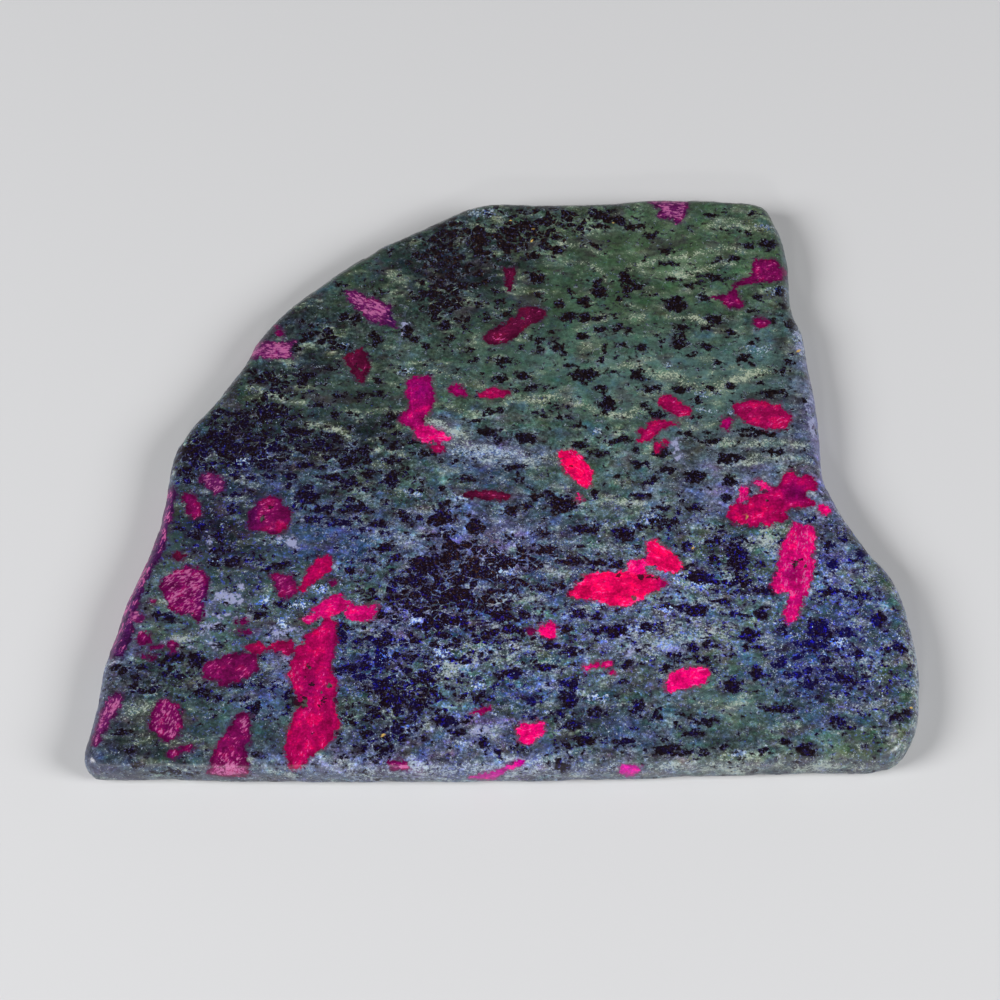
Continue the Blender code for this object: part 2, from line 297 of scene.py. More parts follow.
# Where the rubies are dusted more with pink, and where they turn darker and more violet:
# (x, y, radius along x, radius along y, how much).
DUSTED = [
    (-40.9, -46.6, 2.4, 3.8, 0.7), (-51.6, -67.2, 4.4, 2.3, 0.9), (-65.3, -26.5, 3.6, 2.8, 0.4),
    (58.5, -15.7, 2.4, 2.3, 0.35), (57.3, -24.9, 2, 2.8, 0.6), (-38.5, -66.1, 1.6, 1.4, 0.6),
    (-38.9, -33.4, 2, 1.9, 0.4), (53.8, -11, 2, 1.4, 0.3), (-49.3, -57.1, 1.8, 1.9, 0.5),
    (25.6, -22.1, 1.6, 1.4, 0.3), (-16.3, 11.8, 1.2, 1.9, 0.4),
]
VIOLET = [
    (58.5, -5.6, 3.6, 3.1, 1), (-36.7, -50.3, 3.2, 5.2, 0.5), (-17.5, 19.2, 2.8, 2.8, 0.6),
    (-50.4, -11, 1.6, 3.8, 0.8), (-32.8, -41.6, 1.2, 5.2, 0.6), (56.9, -31.6, 2, 3.3, 0.45),
    (56, -24, 2, 2.3, 0.5), (-48.2, -60.9, 1.6, 3.3, 0.6), (-58.6, -30.5, 1.6, 4.2, 0.8),
    (-23.6, 37.5, 1.2, 2.3, 1), (31.1, -27.1, 1.4, 1.4, 1),
]

# Small pink ellipses by the left rim: (x, y, length, width).
PINK_SPOTS = [
    (-69.8, -39, 2.4, 2.4), (-67.1, -41, 1.8, 0.8), (-64.2, -40.8, 1.8, 2), (-68.7, -43.1, 2, 1),
    (-51.2, -35.4, 1.6, 1), (-50.5, -37.6, 2, 0.8), (-62.4, -63.8, 2, 2.2), (-60, -62.5, 1.6, 1),
]

# Hornblende grains: (x, y, length, width), and the turn in degrees of one that lies on a slant.
HORNBLENDE_GRAINS = [
    # far right
    (19.4, 56.6, 2.8, 1.3), (24.7, 63.2, 3, 2), (26.9, 61.6, 3, 2), (29.1, 62.1, 2.5, 2),
    (31.3, 59.3, 2.8, 1.8), (34.4, 55.2, 2.8, 1.4), (46.3, 61.3, 1.6, 0.8), (44.1, 64.6, 2.4, 1.4),
    (47.7, 64.9, 1.4, 1), (53.8, 65.2, 2, 1.6), (51.9, 56.6, 2.2, 1.6), (56.1, 56.8, 4, 2.6),
    (52.2, 59.9, 1.2, 0.8), (49.1, 52.9, 2, 1.2), (45.2, 52.9, 1.4, 1.2), (34.4, 51.8, 2.4, 1.2),
    (36.6, 51.4, 1.6, 1), (29.9, 52.9, 0.8, 1.4), (44.4, 48.2, 5, 1.4, -8), (40.8, 46.8, 2, 1),
    (35.2, 47.7, 1.2, 0.8), (38.8, 45.7, 1.8, 1.6), (6.9, 47.9, 3.2, 2.6), (4.4, 49.4, 0.8, 0.6),
    (19.1, 46.8, 2.2, 1.2), (20.2, 44.3, 3.6, 2.8), (23.6, 42.4, 1.6, 1.2), (25.8, 47.7, 2.5, 4.5),
    (28, 45.7, 2, 1.6), (25.8, 44.3, 2, 2), (13.8, 44.3, 1.4, 1.6), (7.2, 43.2, 1.4, 2),
    (-0.9, 41.6, 2, 1.6), (11.3, 41, 2, 1.6), (16.9, 41.6, 3.4, 2.6), (13, 37.7, 2.6, 2),
    (17.2, 37.7, 3.6, 2.4), (19.9, 37.7, 1.6, 2), (0.2, 38.2, 2, 1.4), (23.3, 38.2, 1.6, 1),
    (23.8, 35.2, 2.4, 1.6), (19.9, 34.6, 2, 1.4), (30.5, 43.5, 2, 1), (36.1, 41, 4.2, 4),
    (41.9, 42.7, 1.8, 1.8), (58, 44.3, 2.4, 2), (58.8, 40.7, 2, 1.6), (59.9, 36, 1.4, 2),
    (53.6, 42.7, 1.6, 1.6), (51.9, 39.3, 1.6, 1), (55.5, 37.1, 1.4, 0.8), (44.1, 37.1, 3.2, 2.4),
    (41.9, 34.9, 1.4, 1), (36.9, 34.9, 3, 1.6), (47.2, 33.5, 3, 1.6), (51.9, 31.8, 1.6, 1.4),
    (36.3, 31, 3, 2.8), (35.8, 33.2, 2.2, 1), (32.7, 31.6, 1, 1.4), (41.9, 29.9, 2.6, 1),
    (28.3, 29.6, 2.6, 1.6), (24.1, 30.4, 1.8, 1.6), (26.3, 34.1, 1.8, 1.4), (20.8, 29.6, 0.8, 1.6),
    (16.1, 32.9, 3, 1.6), (9.9, 33.8, 1.2, 1), (6.6, 31.8, 2, 1.6), (7.2, 29.6, 1.4, 1.8),
    (3.3, 29.8, 1.2, 1), (11.1, 29.9, 2.4, 1.6), (12.4, 28.8, 1.6, 1.2), (38, 28.2, 2, 0.8),
    (49.4, 27.4, 3, 2), (51.1, 25.7, 1.2, 1.4), (44.4, 26, 1.6, 1), (59.1, 26, 2, 1.6),
    (57.4, 23.8, 2.4, 1.6), (27.4, 23.1, 2.8, 2.8), (16.3, 22.9, 4.6, 3.4), (19.7, 19.6, 2, 1.6),
    (19.9, 26.8, 1.2, 1.6), (13, 25.3, 2.4, 0.6), (21.9, 23.8, 1.6, 0.6), (21.1, 15.7, 3, 3.8),
    (6.3, 20.2, 3, 1.4), (8.6, 19.9, 2, 1.2), (3.3, 19.3, 2.4, 0.8), (3.6, 22.7, 2.8, 2.2),
    (-1.2, 22.1, 2.6, 1.8), (-0.3, 26.6, 4, 1.6), (11.9, 14.9, 2, 1), (-0.9, 14.3, 2, 1.4),
    (6.9, 13.2, 2.4, 1), (11.6, 12.4, 2.5, 0.8), (15.2, 10.2, 1.6, 1), (4.1, 7.4, 4.4, 2.6),
    (-1.2, 6.8, 2, 1.8), (15.5, 5.7, 3, 1.8), (23.3, 6.8, 3.6, 1.6, 10), (19.4, 3.7, 4, 1.4),
    (26.6, 4.6, 1.4, 1.4), (31.6, 3.8, 3, 2.6), (27.2, 1.3, 2.4, 1.2), (1.9, 0.2, 4, 1.2),
    (30.2, 19.3, 2.4, 1.4), (36.3, 19.3, 3, 2), (39.1, 16.6, 2, 1.6), (42.2, 19.3, 1.6, 1),
    (46.6, 20.2, 2, 1.6), (52.4, 21, 1.2, 1), (54.1, 18.2, 3, 1.6), (57.4, 18.8, 2, 1.6),
    (60.8, 16.6, 1.6, 1), (28.3, 15.4, 1.4, 1), (30.8, 13.2, 3.4, 1.6), (38.6, 12.1, 2, 1),
    (49.7, 8.8, 4, 1.4), (53, 8.5, 3, 1), (36.9, 8.1, 2.4, 1.2), (41.9, 6.8, 3, 1.4),
    (41.3, 8.5, 1.4, 1.4), (45.2, 2.4, 5, 2.6), (54.9, 4.1, 3, 1.2), (11.1, 55.4, 2.6, 2),
    (6.1, 53.8, 2.6, 1.6), (0.8, 56, 4, 2.6), (8.6, 56.6, 2, 1.6), (20.2, 64.9, 3, 2.4),
    (20.2, 61.6, 2.6, 1),
    # far left
    (-27.3, 33.3, 2, 1.4), (-26.4, 31.6, 2.4, 2.2), (-16.4, 30.2, 1.6, 2), (-7.6, 29.3, 1.6, 1.4),
    (-6.7, 26.8, 1.2, 1), (-25.9, 21.6, 1.6, 1.4), (-33.7, 17.9, 2.4, 1.4), (-29.2, 17.9, 2.6, 1),
    (-25.9, 18.2, 2.2, 1), (-36.4, 24.8, 3.6, 1), (-40.9, 22.9, 3.4, 2), (-40.9, 18.5, 2.6, 1.2),
    (-43.7, 18.2, 2, 1), (-38.1, 15.4, 2.6, 1.4), (-45.6, 13.5, 3.4, 1.6), (-35.1, 13.2, 1.6, 2),
    (-31.4, 13.2, 2, 1), (-23.1, 12.7, 3.6, 1.6), (-3.1, 13.8, 2.4, 1), (-5.9, 11.6, 2.4, 1),
    (-41.7, 8.7, 5, 2), (-35.6, 8.2, 3.4, 1), (-33.9, 6.6, 2.6, 0.8), (-32.3, 9.9, 1.4, 0.8),
    (-46.2, 4.6, 4, 2.2), (-38.1, 4.8, 5.4, 1), (-31.7, 1.8, 3.4, 2.6), (-28.7, 4.3, 3, 2),
    (-49.5, 1, 2, 1.4), (-39.8, 0.7, 4.4, 1.6), (-22.8, 5.4, 3, 1.6), (-22.8, 2.1, 2.6, 2),
    (-3.7, 8.8, 3, 2), (-9.8, 1.8, 1.4, 1.4), (-15.1, 3.8, 3, 1.4), (-18.9, 6.6, 2, 0.8),
    (-24.2, 10.4, 2, 1), (-26.4, 44.3, 2, 1.4), (-33.7, 37.7, 2, 2), (-31.2, 37.4, 1.6, 2.4),
    (-20.3, 52.1, 1.4, 1.2), (-34.8, 46.3, 1.6, 0.8), (-12.3, 35.7, 2.4, 3), (-20.3, 34.3, 2, 3),
    (-11.4, 32.1, 2, 1.6), (-18.9, 32.1, 2, 1.6),
    # near left
    (-53.9, -1.3, 2, 2), (-47.6, -1.8, 3.2, 1.6), (-51.7, -5.7, 1.8, 1.4), (-34.8, -2.1, 4, 1.6),
    (-31.4, -3.2, 3.6, 2), (-39.8, -6.6, 4.4, 3), (-27.6, -1, 2.6, 2), (-22.8, -2.7, 3, 4),
    (-54.8, -9.6, 2.4, 1.8), (-37.6, -9.9, 2.6, 1), (-29.5, -9.3, 4.4, 2.6), (-38.1, -12.2, 4, 1.4),
    (-32.6, -12.8, 6, 1.4), (-24.8, -13.2, 3.6, 1.6), (-19.8, -11.6, 2.4, 1.6),
    (-12.3, -11.6, 4.4, 2.6), (-5.9, -14.1, 3.4, 3), (-7.6, -2.4, 3, 1.2), (-12.6, -4.9, 2, 1.4),
    (-18.7, -7.4, 1.4, 0.6), (-12.6, -8.5, 3.6, 1.4), (-17.6, -2.4, 1.4, 0.8),
    (-60.3, -13.8, 2.6, 2.2), (-61.7, -15.7, 2.6, 1.6), (-65.3, -13.8, 1.2, 1.6),
    (-56.7, -16.3, 2.4, 2), (-56.2, -19.1, 3.6, 1.6), (-57.3, -21.8, 2.4, 1.6),
    (-53.7, -21.8, 3.4, 2.6), (-49.8, -21, 5, 1.2), (-45.9, -23.2, 4, 1, 25),
    (-43.7, -22.4, 2, 1.4), (-30.6, -23.8, 2, 1.6), (-26.4, -21.3, 2, 1.6),
    (-23.7, -18.5, 3.6, 2.2), (-21.7, -21.3, 2.2, 1), (-14.8, -16, 2.4, 1), (-10.3, -17.9, 4, 1.6),
    (-15.9, -22.4, 6, 4), (-9.8, -21, 5, 1.6), (-5.9, -23.2, 5, 1.6), (-19.2, -26, 4.4, 2),
    (-8.7, -26, 3.4, 1.6), (-43.7, -31.3, 2.4, 1.6), (-47.6, -33.8, 3, 1.8),
    (-67.6, -33.8, 1.8, 2.2), (-65.3, -34.3, 2.4, 2), (-55.1, -36.6, 1.4, 0.8),
    (-63.7, -43.2, 3, 2.4), (-59.2, -43.8, 3.6, 3.2), (-57.6, -50.7, 3, 2),
    (-55.3, -52.1, 2.6, 1.6), (-48.7, -49.1, 5, 0.8), (-47.6, -54.3, 2.6, 2.2),
    (-49.8, -52.1, 2.4, 1.2), (-41.4, -51.6, 1.8, 2.4), (-41.2, -54.1, 1.6, 1.6),
    (-72.3, -59.3, 3, 1.4), (-70.6, -63.2, 2, 1.6), (-46.4, -63.8, 1.4, 1.2),
    (-62.6, -68.2, 4.4, 0.8), (-59.2, -68.5, 3, 0.8), (-69.2, -66.3, 1.6, 1.4),
    (-32, -39.3, 2.6, 2), (-30.6, -46, 2.2, 1.6), (-27, -45.4, 2.4, 2), (-23.7, -43.2, 2.6, 3),
    (-24.2, -49.3, 3, 3), (-20.9, -52.1, 6, 2.6), (-15.3, -47.7, 3.6, 2.6),
    (-16.4, -53.8, 2.4, 2.6), (-11.4, -57.1, 4, 2.6), (-8.7, -59.3, 2.4, 2),
    (-4.2, -61.6, 2.2, 1.6), (-27, -62.1, 2, 1.6), (-22, -62.7, 2.4, 2), (-23.7, -64.9, 2, 1.2),
    (-29.8, -55.7, 2, 1.4), (-4.8, -51.6, 2.6, 1.6), (-18.1, -43.2, 4, 1), (-10.3, -43.8, 3, 0.8),
    # near right
    (2.7, -2.7, 2, 1.2), (18, -6.3, 1.4, 1.4), (5.8, -6.6, 2.6, 1.6), (8.8, -6.3, 2.4, 1.2),
    (1.3, -9.9, 4, 2.6), (11.3, -8.8, 5, 4), (4.1, -9.1, 2, 1.6), (7.4, -15.2, 4, 1.8),
    (15.8, -14.3, 6, 2.2), (23.6, -15.4, 4, 3.4), (26.9, -13.7, 3, 1.4), (30.5, -12.4, 3.4, 2.4),
    (31.9, -14.3, 3, 1.4), (30.8, -9.3, 3, 1.8), (29.1, -3.2, 3, 1.4), (32.2, -0.4, 3, 1),
    (24.1, -1.6, 1.8, 1), (27.2, -6.3, 2.6, 1.4), (38.3, -2.1, 4, 3), (45.2, -2.9, 2.6, 2.4),
    (44.4, -7.1, 1.8, 2), (38, -9.3, 3, 1.8), (35.8, -17.9, 1.6, 2), (33.6, -12.7, 2, 2),
    (7.4, -19.1, 4, 1.8), (0.2, -21.6, 4, 2.4), (13, -21.8, 5, 2), (18, -22.4, 4, 1.6),
    (21.9, -22.4, 3.4, 2), (0.8, -28.2, 4, 1.6), (7.2, -27.9, 2.6, 1.4), (10.8, -27.1, 2, 1.2),
    (45.8, -21, 4, 8), (41.3, -17.1, 3, 1.6), (38, -25.4, 5, 3), (46.3, -26, 4, 1.4),
    (51.3, -28.2, 3.4, 2), (46.3, -28.5, 4, 1), (42.4, -30.7, 3, 1), (37.4, -32.7, 5, 2.6),
    (33.6, -32.1, 3, 1), (44.7, -33.5, 2.6, 1), (49.7, -33.8, 2.4, 2), (-0.3, -34.3, 4, 2.6),
    (4.1, -33.8, 2, 1.6), (9.1, -32.7, 2.4, 1), (14.1, -33.8, 3, 2.4), (18, -34.3, 2, 1.6),
    (21.3, -37.4, 5, 3), (18, -37.7, 3, 1), (1.3, -37.1, 3.4, 2), (11.9, -37.1, 2, 2),
    (28, -36.3, 4, 1.6), (8.8, -40.4, 3.4, 2), (12.7, -42.1, 4, 1.6), (25.8, -41.1, 1.6, 1),
    (32.4, -42.4, 2.4, 1.4), (36.3, -41.1, 2.6, 1.6), (39.4, -40.6, 2.6, 1),
    (38.6, -43.8, 3.4, 1.2), (47.4, -38.2, 4, 2.4), (47.2, -41, 2.6, 0.6), (1.3, -46.6, 4, 1.8),
    (8, -45.4, 3, 1.4), (23.6, -44.6, 2.8, 1.8), (30.8, -45.4, 2.4, 1.6), (-1.4, -47.9, 1.6, 2.2),
    (12.4, -48.8, 3.6, 2), (12.2, -52.1, 3.6, 3.4), (5.2, -52.4, 2.4, 1.4), (25.2, -53.5, 2.4, 2),
    (22.4, -48.5, 1.8, 1), (16.9, -54.9, 4, 1.6), (12.2, -57.9, 4, 1.4), (10.5, -55.4, 2.4, 1),
    (38.3, -56.8, 4, 1.4), (35.8, -59.6, 3, 1.4), (43.6, -49.3, 4, 3), (48.3, -46.6, 3, 3),
    (11.3, -61.8, 3, 1.2), (15.2, -60.7, 3.6, 2), (22.7, -61.3, 4, 2), (30.2, -62.9, 5, 2.4),
    (35.2, -63.5, 4, 1.4), (48.3, -63.5, 2.4, 1.2), (41.1, -62.4, 1.4, 1), (52.7, -61.3, 1.6, 1.4),
    (-1.4, -63.8, 1.6, 2), (3, -62.7, 2.4, 1), (10.8, -66.6, 3, 2), (5.2, -56, 2, 0.8),
    (56.9, -62.9, 3, 2.6), (63, -56.8, 2.6, 1.8), (65.2, -58.2, 2, 1), (52.2, -54.1, 4.2, 1.4),
    (52.7, -44.3, 2.8, 2.2), (58, -49.3, 1.8, 1.6), (55.8, -46.8, 3.4, 1.2), (64.7, -47.7, 3.6, 2),
    (61.9, -45.4, 2, 1), (61.3, -43.8, 2.4, 1.6), (73, -41.6, 1.6, 1.2), (75.8, -41, 3, 2),
    (68, -42.7, 2, 1.4), (74.1, -56, 2.6, 2), (76.3, -54.9, 2, 1.6), (68.6, -29.6, 6, 1.6),
    (63, -28.5, 3.6, 1.4), (73.6, -29.6, 2, 1), (72.4, -34.9, 3.4, 2.8), (64.1, -18.2, 1.6, 2),
    (64.7, -22.1, 3, 2.6), (68.3, -21.8, 1, 1), (66.9, -16.6, 2, 1.6), (70.5, -19.9, 2, 2.4),
    (60.8, -37.1, 5, 4), (65.8, -37.7, 4, 2), (59.7, -40.4, 6, 2), (61.1, -12.1, 1.8, 1),
    (53.6, -36.6, 1.4, 2),
]

# Pale veins and streaks: (half width, points along it).
VEINS = [
    (0.6, [(11.5, 57.2), (13, 56.8), (16.9, 56.6), (20, 54.8)]),
    (0.5, [(13, 52.4), (17.4, 51.6), (20.2, 50.2), (21.9, 47.7)]),
    (0.6, [(29.1, 51.6), (33.6, 53.2), (39.1, 53.7), (42.4, 54.6), (46.9, 55.9), (50.7, 55.7)]),
    (0.7, [(29.7, 49.3), (35.8, 49.3), (38.5, 48.2), (41.3, 49.5), (45.8, 51.6), (48, 52.1)]),
    (0.8, [(44, 61.6), (50, 62.2), (53.5, 61.4), (56.5, 61.2)]),
    (0.4, [(24, 42), (27, 40.6), (30.5, 40.2)]),
    (0.5, [(34.1, 37.9), (39.1, 37.4), (41.5, 36.8)]),
    (0.5, [(18, 23.8), (21, 24.2), (24, 25.3), (28, 25)]),
    (0.9, [(29.1, 24.4), (31.5, 23.2), (34.8, 22.5), (37.1, 20.9), (39.4, 19.7)]),
    (0.9, [(41.5, 20), (44, 20.9), (47.5, 21.4), (51.5, 22.9), (54.3, 24.1)]),
    (0.7, [(5, 17.6), (8, 16.7), (12.4, 16.9), (16.3, 15.6), (18.6, 13.9), (22.4, 12.7),
           (25.8, 13.4), (28, 15)]),
    (1.1, [(-11.4, 6), (-8.1, 5.2), (-4.8, 3.9), (-2, 2.8), (1.3, 2.6), (5.2, 2.2),
           (9.7, 2.4)]),
    (0.5, [(-14.6, 23.8), (-12, 23.2), (-9.3, 22)]),
    (0.4, [(-6, 33), (-6.4, 31)]),
    (0.6, [(-17, 12), (-14.5, 11.5), (-11, 9.5), (-8, 7.5)]),
    (0.5, [(-53.1, 19.9), (-49.8, 19.3), (-47.6, 17.7), (-44.2, 16), (-40.9, 16.3)]),
    (0.7, [(-40, 10.9), (-35.9, 10.1), (-33.1, 8.8), (-30.9, 6.4)]),
    (0.5, [(-26, 4.4), (-22.6, 4), (-20, 3)]),
    (0.4, [(-15, -44.7), (-12, -45), (-9, -44.6)]),
    (0.4, [(-64, -39.4), (-61.4, -38.8), (-59, -38)]),
    (0.6, [(45, 6.2), (50, 5.6), (56, 6.6), (61, 5.4)]),
    (0.6, [(44, 0.9), (50, 1.6), (57, 2.8), (62, 1.6)]),
]

# Milky lilac patches: (x, y, length, width), and the turn in degrees of one that lies on a slant.
MILKY_PATCHES = [
    (-54, -29.2, 5, 1.7, 3), (-51.8, -27.3, 1.8, 1.3), (-52.7, -30.8, 3, 1),
    (-58.8, -16.7, 1.5, 3.4, 20), (-55.6, -33.6, 6, 1.2, -12), (-56.8, -36.4, 3, 1.8),
    (-62, -39.4, 5, 0.8, 12), (-57, -40.6, 4, 0.8), (-43.4, -37.8, 5, 1.8, 10),
    (-42.2, -43, 1.6, 4, 15), (-42.2, -17.4, 3.4, 1.2, -30), (-4.8, -58.8, 6, 1.2, 8),
    (-19, -58.4, 2, 0.9), (34.9, 4.3, 1.2, 4), (61.6, 31, 1.4, 6), (62.6, 12, 1, 9),
    (-21.2, 34.8, 1.6, 3), (-40, -11.9, 4, 0.7, -4), (24.6, -41.8, 3, 0.8, 10),
]

# Where painted blue-white glints crowd together, in the same way.
PAINTED_GLINT_CROWDS = [
    (-46.8, -31, 2.6, 2.4), (-43.4, -35.5, 1.4, 1.8), (-40, -31.5, 2.6, 1.4), (-36.5, -28, 3, 1.5),
    (-44.4, -17, 1.6, 1), (-53.1, 1.8, 2.4, 1.2), (-19.5, 24, 4, 1.2), (-23.1, -43.2, 1.8, 1.6),
    (-18.1, -58.2, 1.8, 1.2), (-8.4, -61.8, 2, 1.2), (-4.8, -49.3, 2, 1.4), (34.1, -25.4, 2, 1.2),
    (38, -27.1, 2.4, 1.4), (44.1, -63.8, 2, 1.2), (40.8, 14.1, 3, 1.6), (52.4, 29.9, 4, 1.6),
    (33.6, 25.2, 1.6, 1.2), (57.8, 44.6, 4, 2), (55.6, 61.6, 3, 1.2), (61.6, 31, 2, 6),
    (-5, 65.6, 4, 1.6), (-33.4, 30, 1.6, 2.2), (46.4, 14, 1.8, 2), (18.6, 9, 1.6, 1.4),
    (42, 18.3, 4, 1.6), (-4, 3.8, 9, 1.2), (-12, -42, 3, 1.8), (19, -31, 2.4, 1.6),
    (-17, -35, 2, 1.6), (18, -52, 2.4, 1.2), (0, -24, 3, 1.2), (-18, -6, 2.4, 1.2),
    (-9, -7, 2.4, 1), (27, -37, 2, 1), (64, -40, 2.6, 1.6), (29, -12, 3, 1.2),
    (31.5, -32.5, 1.8, 1), (47, -5, 2, 3),
]

# Golden specks, in the same way: grains of golden mica and sulphide, painted bright as glints of
# lamp light.
GOLDEN_GRAINS_AND_GLINTS = [
    (61.1, 29.1, 1.2, 0.5, 30), (5.8, 57.9, 0.9, 0.4, 60), (6.1, 61, 0.8, 0.5),
    (1.3, 63.5, 0.8, 0.4), (23.3, 62.7, 0.7, 0.4), (9.9, 33.7, 0.6, 0.4), (-15.6, 33.3, 0.6, 0.4),
    (75.2, -32.7, 0.8, 0.4), (77.2, -54.1, 0.8, 0.4), (47.7, -10.9, 1.6, 0.4, 55),
    (48.4, -11.6, 1.1, 0.3, 55), (37.2, -18.6, 1.4, 0.3, 40), (-23.1, -59.9, 1.2, 0.6, 20),
]

# Where the hornblende closes up into a dark net: (x, y, radius along x, radius along y, how much).
DARK_NETS = [
    (6, 61, 10, 8, 1), (21, 64, 7, 4, 0.8), (-11, 58, 10, 7, 1), (-12, 44, 9, 10, 1),
    (-39, 32, 7, 4, 1), (-48, 23, 6, 4, 1), (-51, 13, 8, 5, 0.9), (-60, 4, 10, 7, 1.2),
    (-12, -32, 16, 9, 0.95), (-66, -47.5, 10, 5, 1), (-26, -50, 10, 16, 0.7),
    (-8, -21, 17, 8, 0.75), (-14, -52, 13, 9, 0.5), (20, -22, 18, 7, 0.3), (44, -24, 7, 8, 0.6),
    (2, -42, 12, 10, 0.3), (-36, 5, 18, 8, 0.7), (-30, -8, 16, 8, 0.5), (60, -46, 10, 8, 0.6),
    (26, -54, 9, 8, 0.4), (50, -4, 10, 8, 0.3),
]

# Where the zoisite is crowded with pale granules: (x, y, radius along x, radius along y, how much).
GRANULAR = [
    (0, -42, 9, 2.6, 0.9), (-12, -46.8, 4, 1.4, 0.9), (24, -8, 4.5, 2, 0.8), (52, -16, 2.6, 4, 0.9),
    (34, -38, 9, 2.4, 0.7), (26, -41.5, 6, 1.8, 1), (38, -27.5, 6, 1.5, 0.4), (72, -26, 3, 2, 0.6),
    (-3, -58.6, 4, 1.1, 0.9), (-19.5, -58.5, 1.6, 1, 0.8), (40, -53, 9, 1.6, 0.4),
    (-6, -67, 26, 1.7, 0.7), (45, -67, 26, 1.5, 0.5), (79, -45, 1.8, 14, 0.8),
    (22, -18.5, 6, 1.2, 0.6), (53, 3.6, 9, 1.4, 0.5), (-69, -57, 4, 6, 0.4), (66, -62, 9, 3, 0.3),
    (12, 3, 9, 4, 0.35), (33, -31, 12, 8, 0.25),
]

# Tints of the zoisite, as zones of the same kind. The blue zones are partly the zoisite's own tint
# and partly painted bluish lamp light on the near half, and the lilac zones along the left rim and
# the far right rim are painted bluish lamp light on the rim. The last three are more than tints:
# the grain of the zoisite is softer in the calm zones; the zones after them are painted blue lamp
# light over the near half, which makes the ground bluer and livelier, adds painted blue glints and
# turns the hornblende more violet; and the hornblende is mottled with brown in the brown zones.
TINTS = {
    "leaf": [
        (38, 56, 30, 18, 1), (-28, 48, 14, 10, 0.8), (10, 38, 24, 16, 0.6), (20, 22, 26, 14, 0.4),
        (-22, 14, 14, 8, 0.3), (66, -62, 11, 5, 0.8), (9, -62, 4, 3, 0.7), (47, -42, 5, 6, 0.3),
        (50, -22, 3, 3, 0.4), (-18, -4, 9, 4, 0.4), (-64, -15, 4, 6, 0.8), (-67, -38, 4, 3, 0.9),
        (-45, 17, 16, 9, 0.7), (-60, -48, 5, 3, 0.5)],
    "teal": [
        (40, 20, 24, 14, 0.8), (42, -53, 13, 5, 0.8), (47, -42, 6, 7, 0.8), (4, -51, 7, 4, 0.5),
        (20, -2, 24, 12, 0.5), (-36, 8, 20, 10, 0.3), (-55, -25, 14, 12, 0.7),
        (10, 25, 20, 12, 0.4), (-9, -51, 4, 2.4, 0.7), (-58, -58, 8, 6, 0.5), (-57, -38, 8, 3, 0.6),
        (-26, -26, 6, 3, 0.6), (52, -16, 3, 5, 0.7), (37, -30, 8, 3, 0.5), (53, 30, 7, 6, 0.5)],
    "navy": [
        (-44, 29, 16, 14, 0.8), (-54, -17, 13, 15, 0.9), (-68, -60, 15, 13, 0.9),
        (-2, 50, 20, 15, 0.35), (-12, -59, 7, 4, 0.5), (47, -11, 5, 5, 0.5), (-75, -45, 6, 18, 0.4),
        (-61, -13, 5, 5, 0.4), (-26, 8, 10, 8, 0.3), (-60, 4, 14, 9, 0.5), (-48, 6, 18, 12, 0.4),
        (-30, 6, 14, 9, 0.5), (-70, -47, 7, 5, 0.3), (60, -49, 10, 7, 0.5), (5, -15, 14, 8, 0.2),
        (-13, -30, 16, 9, 0.3), (-23, -52, 10, 14, 0.5), (-12, 50, 16, 14, 0.6),
        (-28, 48, 14, 12, 0.3), (15, -57, 7, 3, 0.6), (66, -35, 9, 6, 0.3), (45, -21, 5, 6, 0.5)],
    # Partly the zoisite's own blue, and partly painted bluish lamp light on the near half.
    "blue": [
        (-34, -17, 9, 6, 1.2), (-6, -14, 18, 8, 0.6), (-12, -30, 14, 9, 0.4), (67, -37, 10, 7, 0.8),
        (55, -44, 6, 5, 0.9), (66, -21, 6, 4, 0.7), (63, -12, 4, 3, 0.6), (-27, -44, 7, 6, 0.9),
        (24, -58, 10, 5, 0.5), (4, -51, 8, 4, 0.7), (-46, -50, 6, 9, 0.6), (-47, -4, 14, 8, 0.5),
        (-3, 1, 8, 6, 0.6), (62, -52, 9, 6, 0.5), (56, 12, 5, 4, 0.4), (-23, -60, 8, 4, 0.4),
        (18, -33, 10, 6, 0.3), (1, -58, 5, 3, 0.5)],
    # The zones along the left rim and the far right rim are painted bluish lamp light on the rim.
    "lilac": [
        (-77, -50, 4, 14, 0.5), (-12, -59, 7, 4, 0.4), (27, -34, 16, 13, 0.3),
        (-10, -66, 40, 4, 0.7), (65, 8, 5, 26, 1), (-43, -43, 3, 6, 0.6), (36, -4, 12, 8, 0.25),
        (-20, -35, 5, 5, 1), (47, -7, 5, 3, 0.9), (50, 0, 12, 10, 0.35), (-76, -40, 6, 30, 0.5),
        (-3, -58, 6, 2.4, 0.8), (-4, -18, 12, 7, 0.9), (-4, 4.5, 8, 2.6, 0.8), (5, 3, 6, 2, 0.5),
        (-13, 9.5, 4, 3, 0.7)],
    "olive": [
        (50, -66, 34, 3, 0.7), (76, -46, 6, 16, 0.3), (20, 62, 30, 7, 0.3)],
    "calm": [
        (-57, -12, 14, 13, 0.8), (-56, -33, 14, 11, 0.6), (-60, -57, 14, 6, 0.6),
        (-42, -14, 8, 12, 0.7), (-41, -54, 5, 8, 0.6), (44, 20, 22, 12, 0.8), (30, 54, 26, 14, 0.6),
        (0, 34, 24, 14, 0.5), (45, -53, 14, 6, 0.5), (-32, 20, 18, 8, 0.5), (-1, -1, 9, 3, 0.6)],
    # Painted blue lamp light over the near half of the face.
    "painted_blue_light": [
        (-6, -40, 40, 30, 0.9), (42, -28, 34, 16, 0.9), (68, -42, 16, 22, 1),
        (-58, -20, 22, 34, 0.5)],
    "brown": [(2, -22, 24, 16, 1), (0, 56, 30, 20, 0.6)],
}

